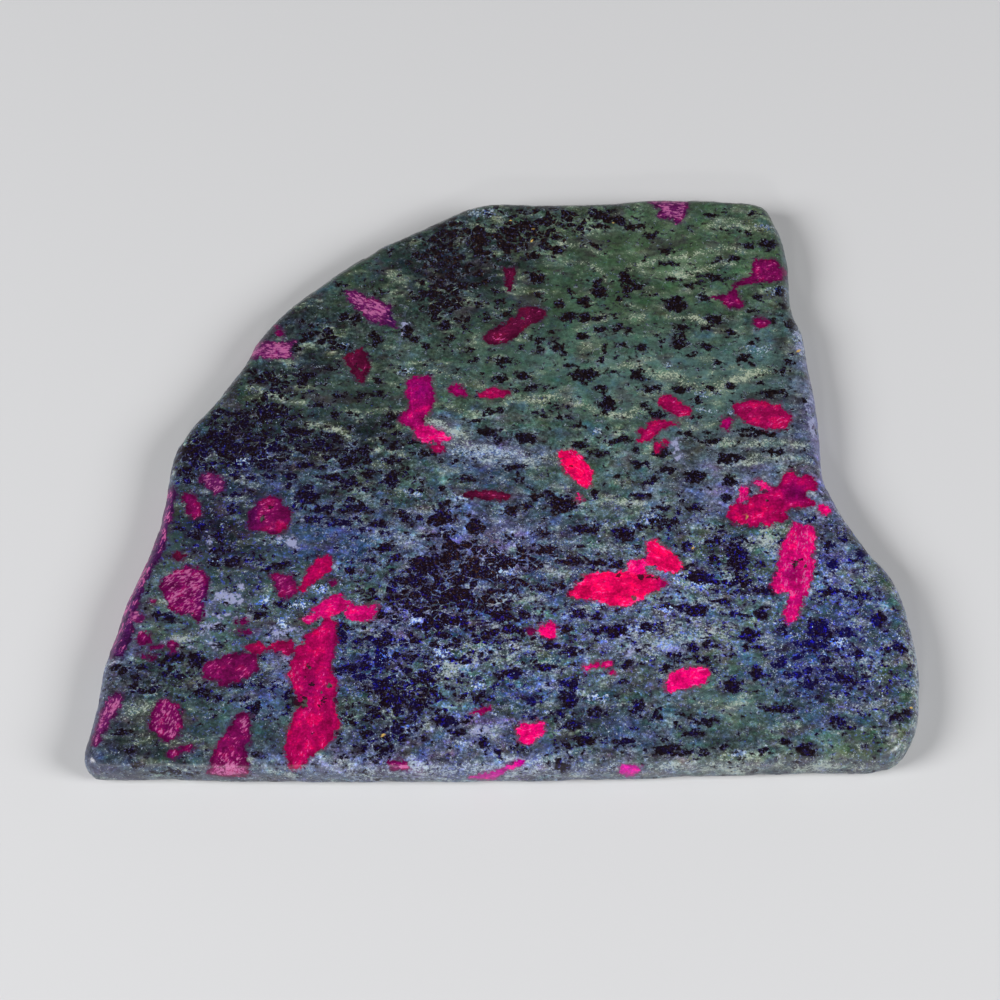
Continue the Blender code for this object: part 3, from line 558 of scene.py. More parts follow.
# ---- The fine mesh ----
RIM_LEVELS = 2  # of subdivision over the CAD rim
TOP_SPACING = 0.64  # between grid points on the face, in millimetres
BACK_SPACING = 1.5
SAME_PLACE = 1e-6  # vertices closer than this many metres are one

# How deep polishing and wear go into the stone, in millimetres.
ZOISITE_DEPTH = 0.03  # polishing cuts the zoisite below the harder rubies
HORNBLENDE_DEPTH = 0.035  # and the hornblende a little below that
RUBY_EDGE = 0.3  # the relief fades this far on both sides of a ruby's edge
HORNBLENDE_EDGE = 0.4
RIM_CHIPS = (0.32, 3.4)  # (depth, spacing)
RIM_PITS = (0.10, 1.1)
# The upright share of the surface's normal where it counts as all rim, and where as all face.
RIM_NORMAL = 0.55
FACE_NORMAL = 0.95


def add_object(name, data):
    obj = bpy.data.objects.new(name, data)
    bpy.context.scene.collection.objects.link(obj)
    return obj


def cad_rim():
    """The CAD slab's rim as four-sided faces, with its two flat faces taken off."""
    bm = bmesh.new()
    bm.from_mesh(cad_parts["slab"].data)
    bmesh.ops.remove_doubles(bm, verts=bm.verts, dist=SAME_PLACE)
    low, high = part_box("slab")
    flat = [
        face for face in bm.faces
        if all(v.co.z > high.z - SAME_PLACE for v in face.verts)
        or all(v.co.z < low.z + SAME_PLACE for v in face.verts)]
    bmesh.ops.delete(bm, geom=flat, context="FACES_ONLY")
    bmesh.ops.join_triangles(
        bm, faces=bm.faces[:], angle_face_threshold=math.pi, angle_shape_threshold=math.pi)
    mesh = bpy.data.meshes.new("rim")
    bm.to_mesh(mesh)
    bm.free()
    return mesh


def smoothed(mesh, levels):
    """The mesh with its subdivision surface worked out."""
    holder = add_object("holder", mesh)
    modifier = holder.modifiers.new("smooth", "SUBSURF")
    modifier.levels = modifier.render_levels = levels
    depsgraph = bpy.context.evaluated_depsgraph_get()
    result = bpy.data.meshes.new_from_object(holder.evaluated_get(depsgraph))
    bpy.data.objects.remove(holder)
    return result


def open_loops(bm):
    """The two open edges of the rim, as ordered lists of vertices: the back's, then the face's."""
    beside = {}
    for edge in bm.edges:
        if edge.is_boundary:
            for vert, other in (edge.verts, reversed(edge.verts)):
                beside.setdefault(vert, []).append(other)
    loops = []
    while beside:
        vert = next(iter(beside))
        loop = []
        while vert in beside:
            loop.append(vert)
            ahead = [other for other in beside.pop(vert) if other in beside]
            vert = ahead[0] if ahead else None
        loops.append(loop)
    return sorted(loops, key=lambda loop: loop[0].co.z)


def within(places, outline):
    """Which places lie inside a closed outline."""
    x, y = places.T
    inside = np.zeros(len(places), bool)
    for (ax, ay), (bx, by) in zip(outline, np.roll(outline, -1, axis=0)):
        if ay != by:
            crossing = (ay > y) != (by > y)
            inside ^= crossing & (x < ax + (y - ay) / (by - ay) * (bx - ax))
    return inside


def grid_inside(outline, spacing):
    """The points of a grid of equal triangles that lie inside an outline."""
    low, high = outline.min(axis=0), outline.max(axis=0)
    rows = []
    for row, y in enumerate(np.arange(low[1], high[1], spacing * math.sin(math.pi / 3))):
        x = np.arange(low[0] + spacing / 2 * (row % 2), high[0], spacing)
        rows.append(np.stack([x, np.full(len(x), y)], axis=1))
    grid = np.concatenate(rows)
    return grid[within(grid, outline)]


def fill_loop(bm, loop, spacing, facing_up):
    """Closes one end of the rim with a flat face of small triangles."""
    outline = np.array([vert.co.xy for vert in loop]) / MM
    grid = grid_inside(outline, spacing)
    places = [Vector(place) for place in np.concatenate([outline, grid])]
    only_inside = 1  # what to keep, by delaunay_2d_cdt's own numbers
    found, _, faces, sources, _, _ = geometry.delaunay_2d_cdt(
        places, [], [list(range(len(loop)))], only_inside, 1e-6)
    z = loop[0].co.z
    verts = []
    for place, source in zip(found, sources):
        on_loop = [number for number in source if number < len(loop)]
        verts.append(
            loop[on_loop[0]] if on_loop else bm.verts.new((place.x * MM, place.y * MM, z)))
    for face in faces:
        corners = [verts[number] for number in face]
        bm.faces.new(corners if facing_up else corners[::-1])


def fine_slab():
    """The slab's mesh, and the outline of its flat face in millimetres."""
    bm = bmesh.new()
    bm.from_mesh(smoothed(cad_rim(), RIM_LEVELS))
    back, face = open_loops(bm)
    fill_loop(bm, back, BACK_SPACING, facing_up=False)
    fill_loop(bm, face, TOP_SPACING, facing_up=True)
    bmesh.ops.recalc_face_normals(bm, faces=bm.faces)
    mesh = bpy.data.meshes.new("ruby_in_zoisite")
    bm.to_mesh(mesh)
    outline = np.array([vert.co.xy for vert in face]) / MM
    bm.free()
    return mesh, outline


# ---- Fields over the mesh ----
FAR = 4.0  # fields stop this many millimetres outside their shape
# How far the crystals' shapes drift with each millimetre of depth, and how far apart the drifts
# lie, in millimetres.
DRIFT = (0.16, 9.0)
VEIN_SWAY = (0.6, 2.6)  # how far veins wander and how far apart the bends lie, in millimetres
VEIN_FADE = 1.6  # how far a vein fades to each side, in half widths
# The shares of red, green and blue that a ruby loses where it is darker and more violet.
VIOLET_LOSS = (0.45, 0.0, -0.15)


def colour(red, green, blue):
    """A colour for a shader from its screen values, 0 to 255."""
    def linear(value):
        value /= 255
        return value / 12.92 if value <= 0.04045 else ((value + 0.055) / 1.055) ** 2.4
    return (linear(red), linear(green), linear(blue), 1.0)


def tone_of(name):
    """A ruby tone as four numbers: its red, green and blue, and its dust."""
    *screen, dust = TONES[name]
    return (*colour(*screen)[:3], dust)


def vertex_vectors(mesh, key):
    vectors = np.empty(len(mesh.vertices) * 3, np.float32)
    mesh.vertices.foreach_get(key, vectors)
    return vectors.reshape(-1, 3)


def points_of(mesh):
    """The mesh's vertices, in millimetres."""
    return vertex_vectors(mesh, "co").astype(float) / MM


def rise(values, low, high):
    """From 0 at low to 1 at high, and level beyond them."""
    return np.clip((values - low) / (high - low), 0.0, 1.0)


def noise_at(points, spacing, shift):
    """Smooth noise from about -1 to 1, whose lumps are about this far apart.

    Another shift gives other lumps.
    """
    scaled = points / spacing + shift
    return np.array([noise.noise(Vector(point)) for point in scaled])


def face_places(points):
    """For each point of the slab, the place on the polished face that shows the same crystal."""
    depth = cad_high.z / MM - points[:, 2]
    places = points[:, :2] - FIELD_ORIGIN
    places[:, 1] -= SLANT * depth
    drift, spacing = DRIFT
    for axis, shift in enumerate((3.1, 7.7)):
        places[:, axis] += drift * depth * noise_at(points, spacing, shift)
    return places


def rounded(outline, cut=0.2):
    """A closed outline with this share of each side cut off at both of its corners."""
    ahead = np.roll(outline, -1, axis=0)
    ends = [(1 - cut) * outline + cut * ahead, cut * outline + (1 - cut) * ahead]
    return np.stack(ends, axis=1).reshape(-1, 2)


def distance_to_line(places, line, closed=False):
    """Each place's distance to the nearest stretch of a line."""
    starts, ends = (line, np.roll(line, -1, axis=0)) if closed else (line[:-1], line[1:])
    nearest = np.full(len(places), np.inf)
    for start, end in zip(starts, ends):
        along = end - start
        share = np.clip((places - start) @ along / max(along @ along, 1e-9), 0.0, 1.0)
        gap = np.linalg.norm(places - start - share[:, None] * along, axis=1)
        nearest = np.minimum(nearest, gap)
    return nearest


def near(places, shape, margin):
    """Which places lie within a margin of a shape's box."""
    low, high = shape.min(axis=0) - margin, shape.max(axis=0) + margin
    return np.flatnonzero(((places > low) & (places < high)).all(axis=1))


def ruby_fields(places):
    """How deep each place lies in a ruby, in millimetres, and that ruby's tone and streaks."""
    depth = np.full(len(places), -FAR)
    tone = np.zeros((len(places), 4))
    streaks = np.zeros(len(places))
    for name, turn, outline in RUBIES.values():
        outline = rounded(np.array(outline))
        close = near(places, outline, FAR)
        reach = distance_to_line(places[close], outline, closed=True)
        reach = np.where(within(places[close], outline), reach, -reach)
        won = reach > depth[close]
        depth[close[won]] = reach[won]
        tone[close[won]] = tone_of(name)
        streaks[close[won]] = math.radians(turn)
    return depth, tone, streaks


def ellipse_field(places, ellipses):
    """How deep each place lies in the nearest of some ellipses, in millimetres."""
    depth = np.full(len(places), -FAR)
    for x, y, length, width, *turn in ellipses:
        centre = np.array((x, y), float)
        angle = math.radians(turn[0] if turn else 0.0)
        close = near(places, centre[None], max(length, width) / 2 + FAR)
        offset = places[close] - centre
        along = offset[:, 0] * math.cos(angle) + offset[:, 1] * math.sin(angle)
        across = offset[:, 1] * math.cos(angle) - offset[:, 0] * math.sin(angle)
        ring = np.hypot(along / (length / 2), across / (width / 2))
        depth[close] = np.maximum(depth[close], (1.0 - ring) * min(length, width) / 2)
    return depth


def zone_field(places, zones):
    """The sum of soft round zones at each place, up to 1."""
    total = np.zeros(len(places))
    for x, y, radius_x, radius_y, amount in zones:
        offset = (places - (x, y)) / (radius_x, radius_y)
        total += amount * np.exp(-(offset ** 2).sum(axis=1))
    return np.minimum(total, 1.0)


def vein_field(places):
    """From 0 to 1 on the pale veins, which wander a little, and in the granular zones."""
    sway, spacing = VEIN_SWAY
    level = np.column_stack([places, np.zeros(len(places))])
    swayed = [noise_at(level, spacing, shift) for shift in (1.3, 8.9)]
    places = places + sway * np.stack(swayed, axis=1)
    strength = np.zeros(len(places))
    for half_width, line in VEINS:
        line = np.array(line)
        close = near(places, line, FAR)
        gap = distance_to_line(places[close], line) / (VEIN_FADE * half_width)
        strength[close] = np.maximum(strength[close], np.exp(-(gap ** 2)))
    return np.maximum(strength, zone_field(places, GRANULAR))


def lower_surface(mesh, points, ruby, hornblende):
    """Pushes the surface in: a faint relief where it is polished, chips and pits on the rim.

    Returns how much of each point is rim, from 0 to 1.
    """
    normals = vertex_vectors(mesh, "normal")
    rim = 1.0 - rise(np.abs(normals[:, 2]), RIM_NORMAL, FACE_NORMAL)
    relief = ZOISITE_DEPTH * rise(-ruby, -RUBY_EDGE, RUBY_EDGE)
    relief += HORNBLENDE_DEPTH * rise(hornblende, -HORNBLENDE_EDGE, HORNBLENDE_EDGE)
    chip_depth, chip_spacing = RIM_CHIPS
    chips = chip_depth * rise(noise_at(points, chip_spacing, 11.0), 0.0, 1.0)
    pit_depth, pit_spacing = RIM_PITS
    pits = pit_depth * rise(noise_at(points, pit_spacing, 5.0), -0.5, 0.5)
    push = relief + rim * (chips + pits)
    lowered = (points - normals * push[:, None]) * MM
    mesh.vertices.foreach_set("co", lowered.astype(np.float32).ravel())
    mesh.update()
    return rim


def write_field(mesh, name, values):
    """One number, or three, at each of the mesh's vertices, for the material to read."""
    kind, key = ("FLOAT", "value") if values.ndim == 1 else ("FLOAT_VECTOR", "vector")
    attribute = mesh.attributes.new(name, kind, "POINT")
    attribute.data.foreach_set(key, values.astype(np.float32).ravel())


def add_fields(mesh):
    points = points_of(mesh)
    places = face_places(points)
    ruby, tone, streaks = ruby_fields(places)
    tone[:, 3] += zone_field(places, DUSTED)
    tone[:, :3] *= 1 - zone_field(places, VIOLET)[:, None] * VIOLET_LOSS
    pink = ellipse_field(places, PINK_SPOTS)
    spot = pink > ruby
    ruby[spot] = pink[spot]
    tone[spot] = tone_of("dusky")
    hornblende = ellipse_field(places, HORNBLENDE_GRAINS)
    fields = {
        "rim": lower_surface(mesh, points, ruby, hornblende),
        "ruby": ruby,
        "ruby_tone": tone[:, :3],
        "streaks": streaks,
        "dust": tone[:, 3],
        "crumb": ellipse_field(places, CRUMBS),
        "hornblende": hornblende,
        "net": zone_field(places, DARK_NETS),
        "milk": ellipse_field(places, MILKY_PATCHES),
        "painted_glints": ellipse_field(places, PAINTED_GLINT_CROWDS),
        "gold_and_glint": ellipse_field(places, GOLDEN_GRAINS_AND_GLINTS),
        "vein": vein_field(places),
    }
    fields.update((name, zone_field(places, zones)) for name, zones in TINTS.items())
    for name, values in fields.items():
        write_field(mesh, name, values)


# ---- A flat map of the surface, named OFBake, to bake colours to ----
MAP_WIDTH = 215.0  # millimetres of stone across the map
MAP_MARGIN = 3.0  # millimetres of empty map beside the face
BACK_SCALE = 0.36  # the back is drawn this much smaller
BACK_CORNER = (12.0, 184.0)  # where it starts, in millimetres across and up the map
BACK_NORMAL = -0.98  # the back's triangles face down at least this squarely
RIM_TOP = 0.9  # of the slab's height: lower points belong to the rim or the back
TANGENT_REACH = 3  # points of the outline on each side of the one whose direction is found
CHUNK = 4096  # points worked on at once, to save memory


def unfolded(points, outline):
    """Where each point lies when the rim is folded out flat round the face, in millimetres."""
    tangents = np.roll(outline, -TANGENT_REACH, axis=0) - np.roll(outline, TANGENT_REACH, axis=0)
    outward = np.stack([tangents[:, 1], -tangents[:, 0]], axis=1)
    outward /= np.linalg.norm(outward, axis=1, keepdims=True)
    if (outward * (outline - outline.mean(axis=0))).sum() < 0:
        outward = -outward
    places = points[:, :2].copy()
    height = points[:, 2].max()
    on_rim = np.flatnonzero(~within(places, outline) | (points[:, 2] < RIM_TOP * height))
    for start in range(0, len(on_rim), CHUNK):
        some = on_rim[start:start + CHUNK]
        gaps = np.linalg.norm(points[some, None, :2] - outline[None], axis=2)
        drop = height - points[some, 2]
        places[some] += outward[gaps.argmin(axis=1)] * drop[:, None]
    return places


def add_bake_map(mesh, outline):
    """Lays the face out flat, with the rim unfolded round it, and the back beside it."""
    points = points_of(mesh)
    face_map = unfolded(points, outline)
    face_map = (face_map - face_map.min(axis=0) + MAP_MARGIN) / MAP_WIDTH
    back_map = (points[:, :2] - points[:, :2].min(axis=0)) * BACK_SCALE
    back_map[:, 0] = back_map[:, 0].max() - back_map[:, 0]
    back_map = (back_map + BACK_CORNER) / MAP_WIDTH
    loop_vertex = np.empty(len(mesh.loops), np.int32)
    mesh.loops.foreach_get("vertex_index", loop_vertex)
    on_back = np.repeat(
        [polygon.normal.z < BACK_NORMAL for polygon in mesh.polygons],
        [len(polygon.vertices) for polygon in mesh.polygons])
    places = np.where(on_back[:, None], back_map[loop_vertex], face_map[loop_vertex])
    layer = mesh.uv_layers.new(name="OFBake")
    layer.data.foreach_set("uv", places.astype(np.float32).ravel())


# ---- The material ----
# Colours are screen values, 0 to 255.
ZOISITE = (64, 80, 76)
# The ground where painted blue lamp light falls: lighter and bluer.
ZOISITE_IN_PAINTED_BLUE_LIGHT = (74, 94, 95)
# The tints of the zoisite, mixed in this order.
GROUND_TINTS = {
    "leaf": (66, 92, 66),
    "teal": (78, 106, 104),
    "blue": (54, 78, 114),
    "lilac": (104, 98, 148),
    "olive": (88, 98, 84),
    "navy": (28, 34, 44),
}
PURPLE_CLOUD = (72, 72, 140)
RUSTY_CLOUD = (58, 50, 56)
PALE_BAND = (108, 124, 106)
COLD_BAND = (112, 126, 138)
GRANULE = (174, 184, 162)
COLD_GRANULE = (172, 186, 196)
# The rim: paler where it is worn and less polished, and lilac with painted bluish lamp light.
WORN_RIM_AND_PAINTED_LIGHT = (86, 84, 128)
MILK = (164, 168, 204)
MILKY_HAZE = (112, 118, 150)
# Painted glints of lamp light, dim and bright, bluer where painted blue lamp light falls.
DIM_PAINTED_GLINT = (100, 122, 156)
BLUE_LIT_DIM_PAINTED_GLINT = (98, 126, 214)
BRIGHT_PAINTED_GLINT = (176, 192, 204)
BLUE_LIT_BRIGHT_PAINTED_GLINT = (216, 232, 255)
HORNBLENDE = (12, 3, 7)
# Hornblende under painted blue lamp light: more violet, and inky blue in the blue zones.
HORNBLENDE_IN_PAINTED_BLUE_LIGHT = (16, 2, 18)
INKY_HORNBLENDE_IN_PAINTED_BLUE_LIGHT = (8, 3, 66)
# The ground's darkening toward hornblende, more violet under painted blue lamp light.
HORNBLENDE_SHADE = (44, 38, 50)
HORNBLENDE_SHADE_IN_PAINTED_BLUE_LIGHT = (42, 24, 70)
HORNBLENDE_SPECK = (42, 34, 34)
BROWN_SPECK = (80, 54, 42)
VIOLET_SPECK = (74, 74, 116)
# Painted glints, and deep blue painted lamp light.
BLUE_PAINTED_GLINT = (70, 120, 255)
WHITE_PAINTED_GLINT = (190, 222, 255)
DEEP_BLUE_PAINTED_LIGHT = (14, 16, 170)
RUBY_HALO = (44, 28, 60)
PINK_DUST = (255, 76, 172)
GREY_PINK_DUST = (192, 108, 158)
BLACK_CRUMB = (24, 14, 26)
GREEN_CRUMB = (66, 76, 70)
# Golden grains painted bright as glints of lamp light.
GOLD_GRAIN_AND_GLINT = (214, 176, 96)
# What the wandering hue multiplies red, green and blue by.
BLUER = (0.68, 0.9, 1.8)
YELLOWER = (1.3, 1.12, 0.65)
PINKER = (1.2, 0.86, 1.1)
GREENER = (0.75, 1.15, 0.95)
DEEPER_RED = (1.08, 0.8, 0.72)


class Value:
    """What a node gives at each place: a number, a place or a colour. Numbers add and multiply."""

    def __init__(self, shading, socket):
        self.shading = shading
        self.socket = socket

    def __add__(self, other):
        return self.shading.maths("ADD", self, other)

    def __sub__(self, other):
        return self.shading.maths("SUBTRACT", self, other)

    def __mul__(self, other):
        return self.shading.maths("MULTIPLY", self, other)

    __radd__ = __add__
    __rmul__ = __mul__


class Shading:
    """Short ways to add nodes to one material's tree. Lengths are in millimetres."""

    def __init__(self, material):
        self.tree = material.node_tree
        place = self.node("ShaderNodeTexCoord", output="Object")
        self.place = self.node("ShaderNodeVectorMath", {0: place, 3: 1 / MM}, operation="SCALE")

    def set_inputs(self, node, inputs):
        for name, value in inputs.items():
            if isinstance(value, Value):
                self.tree.links.new(value.socket, node.inputs[name])
            else:
                node.inputs[name].default_value = value

    def node(self, kind, inputs=None, output=0, **settings):
        """One output of a new node."""
        made = self.tree.nodes.new(kind)
        for name, value in settings.items():
            setattr(made, name, value)
        self.set_inputs(made, inputs or {})
        return Value(self, made.outputs[output])

    def field(self, name, output="Fac"):
        return self.node("ShaderNodeAttribute", attribute_name=name, output=output)

    def maths(self, operation, *values):
        return self.node("ShaderNodeMath", dict(enumerate(values)), operation=operation)

    def larger(self, first, second):
        return self.maths("MAXIMUM", first, second)

    def red(self, tint):
        return self.node("ShaderNodeSeparateColor", {0: tint})

    def step(self, value, low, high, start=0.0, end=1.0):
        """From start to end as value goes from low to high, softly at both ends."""
        inputs = {"Value": value, "From Min": low, "From Max": high, "To Min": start, "To Max": end}
        return self.node("ShaderNodeMapRange", inputs, interpolation_type="SMOOTHSTEP")

    def stretched(self, share, turn=None):
        """The place, squeezed along X, or at this turn to it, to make a pattern longer that way."""
        place = self.place
        if turn is not None:
            place = self.node(
                "ShaderNodeVectorRotate", {"Vector": place, "Angle": turn},
                rotation_type="Z_AXIS", invert=True)
        inputs = {0: place, 1: (share, 1.0, 1.0)}
        return self.node("ShaderNodeVectorMath", inputs, operation="MULTIPLY")

    def noise(self, spacing, detail=2, roughness=0.5, place=None):
        """Noise around 0.5, whose lumps are about this far apart."""
        return self.node("ShaderNodeTexNoise", {
            "Vector": place or self.place, "Scale": 1 / spacing, "Detail": detail,
            "Roughness": roughness})

    def swing(self, spacing, detail=2, roughness=0.5, place=None):
        """The same noise made to swing about 0, two thirds of it between -1 and 1."""
        octaves = [roughness ** octave for octave in range(detail + 1)]
        spread = 0.135 * math.hypot(*octaves) / sum(octaves)
        noisy = self.noise(spacing, detail, roughness, place)
        return self.maths("MULTIPLY_ADD", noisy, 1 / spread, -0.5 / spread)

    def lot(self, spacing, place):
        """One random number from 0 to 1 in each of the cells that are about this far apart."""
        cells = {"Vector": place, "Scale": 1 / spacing}
        return self.red(self.node("ShaderNodeTexVoronoi", cells, output="Color"))

    def cell_edge(self, spacing, place):
        """How far each place lies from the edge of its cell, as a share of the spacing."""
        cells = {"Vector": place, "Scale": 1 / spacing}
        return self.node(
            "ShaderNodeTexVoronoi", cells, output="Distance", feature="DISTANCE_TO_EDGE")

    def brightened(self, tint, stops):
        """A colour made twice as light for each stop, keeping its hue."""
        share = self.maths("POWER", 2.0, stops)
        return self.node("ShaderNodeVectorMath", {0: tint, 3: share}, operation="SCALE")

    def blend(self, share, first, second, mode="MIX"):
        """From one colour toward another, each a Value or a tuple of screen values."""
        first, second = (
            colour(*tint) if isinstance(tint, tuple) else tint for tint in (first, second))
        inputs = {0: share, 6: first, 7: second}
        return self.node("ShaderNodeMix", inputs, 2, data_type="RGBA", blend_type=mode)

    def filtered(self, share, tint, factors):
        """From a colour toward the same with its red, green and blue multiplied."""
        inputs = {0: share, 6: tint, 7: (*factors, 1.0)}
        return self.node("ShaderNodeMix", inputs, 2, data_type="RGBA", blend_type="MULTIPLY")


def zoisite_colour(s):
    """The ground: tinted clouds of fine grains, and bands and veins of pale granules along X.
    It is bluer and livelier where painted blue lamp light falls.
    """
    painted_blue_light = s.field("painted_blue_light")
    blue = s.field("blue")
    ground = s.blend(painted_blue_light, ZOISITE, ZOISITE_IN_PAINTED_BLUE_LIGHT)
    for name, tint in GROUND_TINTS.items():
        ground = s.blend(s.field(name), ground, tint)
    purple = s.step(s.swing(3.6, 2, 0.5, s.stretched(0.6)), 0.0, 1.5, 0.0, 0.6)
    ground = s.blend(purple * blue, ground, PURPLE_CLOUD)
    rust = s.step(s.swing(4.4, 3, 0.6, s.stretched(0.6)), 0.6, 1.8, 0.0, 0.6)
    ground = s.blend(rust, ground, RUSTY_CLOUD)

    # Bands and granules turn colder in the blue and lilac zones and where painted blue lamp light
    # falls.
    cold = blue + s.field("lilac") + 0.8 * painted_blue_light
    vein = s.field("vein")
    rim = s.field("rim")
    band = s.step(s.swing(3.4, 4, 0.6, s.stretched(0.5)), 0.2, 2.0)
    band = band + vein + 0.25 * s.field("lilac") + 0.2 * rim
    ground = s.blend(0.5 * band, ground, s.blend(cold, PALE_BAND, COLD_BAND))

    # The green ground is calmer than the blue, and both are livelier in the dark nets. It is a
    # little lighter where painted blue lamp light falls.
    green = s.field("leaf") + 0.6 * s.field("teal") - 0.5 * blue
    net = s.field("net")
    calm = s.field("calm")
    lively = s.step(green, 0.8, 0.0, 0.5, 0.85) + 0.3 * net - 0.3 * calm
    wisp = s.swing(1.7, 3, 0.65, s.stretched(0.7))
    mixed = 0.45 * wisp + 0.52 * s.swing(0.7, 3, 0.8)
    stops = 0.24 * s.swing(6.5, 2) + mixed * lively - 0.05 * net + 0.06 * painted_blue_light - 0.08
    ground = s.brightened(ground, stops)
    # Its hue wanders between blue and yellow, and between pink and green, more where painted blue
    # lamp light falls and less in the calm zones.
    wander = 0.6 + 0.3 * painted_blue_light - 0.4 * calm
    hue = s.swing(3.2, 4, 0.6) * wander
    blush = s.swing(2.6, 3, 0.6, s.stretched(0.7)) * wander
    ground = s.filtered(s.step(hue, 0.0, 2.0, 0.0, 0.7), ground, BLUER)
    ground = s.filtered(s.step(hue, 0.0, -2.0, 0.0, 0.7), ground, YELLOWER)
    ground = s.filtered(s.step(blush, 0.0, 2.0), ground, PINKER)
    ground = s.filtered(s.step(blush, 0.0, -2.0), ground, GREENER)

    # Granules crowd in the bands, veins and rim, and more where painted blue lamp light falls.
    crowd = 1.5 * band + 0.8 * vein + 0.5 * rim + 0.35 * wisp + 0.75 * painted_blue_light
    granules = s.step(s.swing(0.42, 2, 0.7) + crowd - 2.4, 0.0, 1.2)
    return s.blend(0.8 * granules, ground, s.blend(cold, GRANULE, COLD_GRANULE))


def hornblende_amount(s):
    """In millimetres, above 0 in hornblende: the placed grains, crumbs between them, and nets."""
    place = s.stretched(0.8)
    ragged = s.swing(1.1, 4, 0.7, s.stretched(0.9))
    placed = s.field("hornblende") + 0.32 * ragged + 0.5 * s.lot(1.1, place) - 0.14
    lumpy = 0.45 * s.swing(3.0, 3, 0.6, s.stretched(0.7)) + 0.4 * ragged
    lumpy = lumpy + 2.7 * s.lot(1.5, place) - 1.35
    seams = s.step(s.cell_edge(1.5, place), 0.12, 0.01, 0.0, -1.3)
    nets = 0.6 * (lumpy + seams + 3.2 * s.field("net") - 2.2)
    # More crumbs where painted blue lamp light falls.
    crumbs = 0.3 * (s.swing(1.0, 3, 0.6, place) + 0.45 * s.field("painted_blue_light") - 1.8)
    return s.larger(placed, s.larger(nets, crumbs))


def ruby_colour(s):
    """Each ruby in its own tone: mottled, and dusted with pink along its streaks."""
    tone = s.field("ruby_tone", "Color")
    turn = s.field("streaks")
    streak = s.swing(1.8, 2, 0.6, s.stretched(0.3, turn))
    lump = s.swing(2.2, 3, 0.6)
    stops = 0.32 * lump + 0.12 * streak + 0.22 * s.swing(0.5, 2, 0.7)
    # A dim ruby is darker at its edge, and a glowing one, bright with painted fluorescent glow, has
    # a pale edge.
    glow = s.step(s.red(tone), 0.15, 0.75)
    rind = s.step(s.field("ruby"), 0.7, 0.05)
    body = s.brightened(tone, stops + 0.7 * rind * (glow - 1.0))
    body = s.filtered(s.step(lump, 0.2, 1.6), body, DEEPER_RED)
    dusty = s.field("dust")
    dust = s.swing(0.4, 2, 0.7, s.stretched(0.4, turn)) + 0.35 * streak + 0.5 * lump
    dust = dust + 2.4 * dusty - 2.6 + rind * (2.2 * glow - 1.4)
    pink = s.blend(dusty, PINK_DUST, GREY_PINK_DUST)
    return s.blend(s.step(dust, -0.2, 1.3, 0.0, 0.75), body, pink)


def with_milk(s, base, ragged):
    """Milky patches, each in a thin haze."""
    milk = s.field("milk")
    base = s.blend(s.step(milk + 2.5 * ragged, -1.2, 0.8, 0.0, 0.45), base, MILKY_HAZE)
    return s.blend(s.step(milk + 2.0 * ragged, -0.1, 0.5, 0.0, 0.75), base, MILK)


def with_painted_glints(s, base, amount, patchy):
    """Painted glints of lamp light as pale specks, and pale threads between the hornblende grains
    and round them, drawn in the same painted glint colours.
    """
    painted_blue_light = s.field("painted_blue_light")
    cold = s.field("blue") + s.field("lilac") - 0.6 * s.field("leaf")
    thread = s.maths("ABSOLUTE", s.swing(1.7, 2, 0.55, s.stretched(0.8)))
    thread = s.step(thread, 0.16, 0.05) * s.step(amount, -0.8, -0.2)
    thread = s.larger(thread, s.step(amount, -0.16, -0.07))
    lit = s.step(patchy + cold + 0.5 * s.field("brown") + 0.4 * painted_blue_light, 0.3, 1.2)
    painted_glints = s.swing(0.6, 2, 0.7) + s.step(s.field("painted_glints"), -1.4, 0.6, 0.0, 3.0)
    painted_glints = painted_glints + s.step(amount, -0.7, -0.1, 0.0, 0.9)
    painted_glints = painted_glints + 0.4 * (cold + patchy + painted_blue_light) - 0.8 * s.field("calm") - 2.9
    light = s.larger(s.step(painted_glints, 0.0, 0.4), 0.85 * thread * lit)
    dim = s.blend(painted_blue_light, DIM_PAINTED_GLINT, BLUE_LIT_DIM_PAINTED_GLINT)
    bright = s.blend(painted_blue_light, BRIGHT_PAINTED_GLINT, BLUE_LIT_BRIGHT_PAINTED_GLINT)
    glint = s.blend(s.step(s.swing(0.5, 1), -0.4, 0.8), dim, bright)
    return s.blend(0.9 * light, base, glint)


def with_hornblende(s, base, amount, dark, patchy):
    """Black hornblende mottled with brown and violet. The ground darkens toward it. Under painted
    blue lamp light the hornblende is more violet, and inky blue in the blue zones.
    """
    painted_blue_light = s.field("painted_blue_light")
    brown = s.field("brown")
    shade = s.step(amount, -0.45, 0.0) * (0.45 + 0.25 * painted_blue_light)
    base = s.blend(shade, base, s.blend(painted_blue_light, HORNBLENDE_SHADE, HORNBLENDE_SHADE_IN_PAINTED_BLUE_LIGHT))
    painted_blue_cast = s.step(s.field("blue") - 1.2 * brown + 0.3 * patchy, 0.0, 0.8)
    black = s.blend(painted_blue_light, HORNBLENDE, HORNBLENDE_IN_PAINTED_BLUE_LIGHT)
    black = s.blend(painted_blue_cast * painted_blue_light, black, INKY_HORNBLENDE_IN_PAINTED_BLUE_LIGHT)
    mottle = s.swing(0.4, 2, 0.7)
    speck = s.blend(brown, HORNBLENDE_SPECK, BROWN_SPECK)
    black = s.blend(s.step(mottle, 0.5, 2.2, 0.0, 0.9), black, speck)
    black = s.blend(s.step(mottle, -1.2, -2.0), black, VIOLET_SPECK)
    return s.blend(dark, base, black)


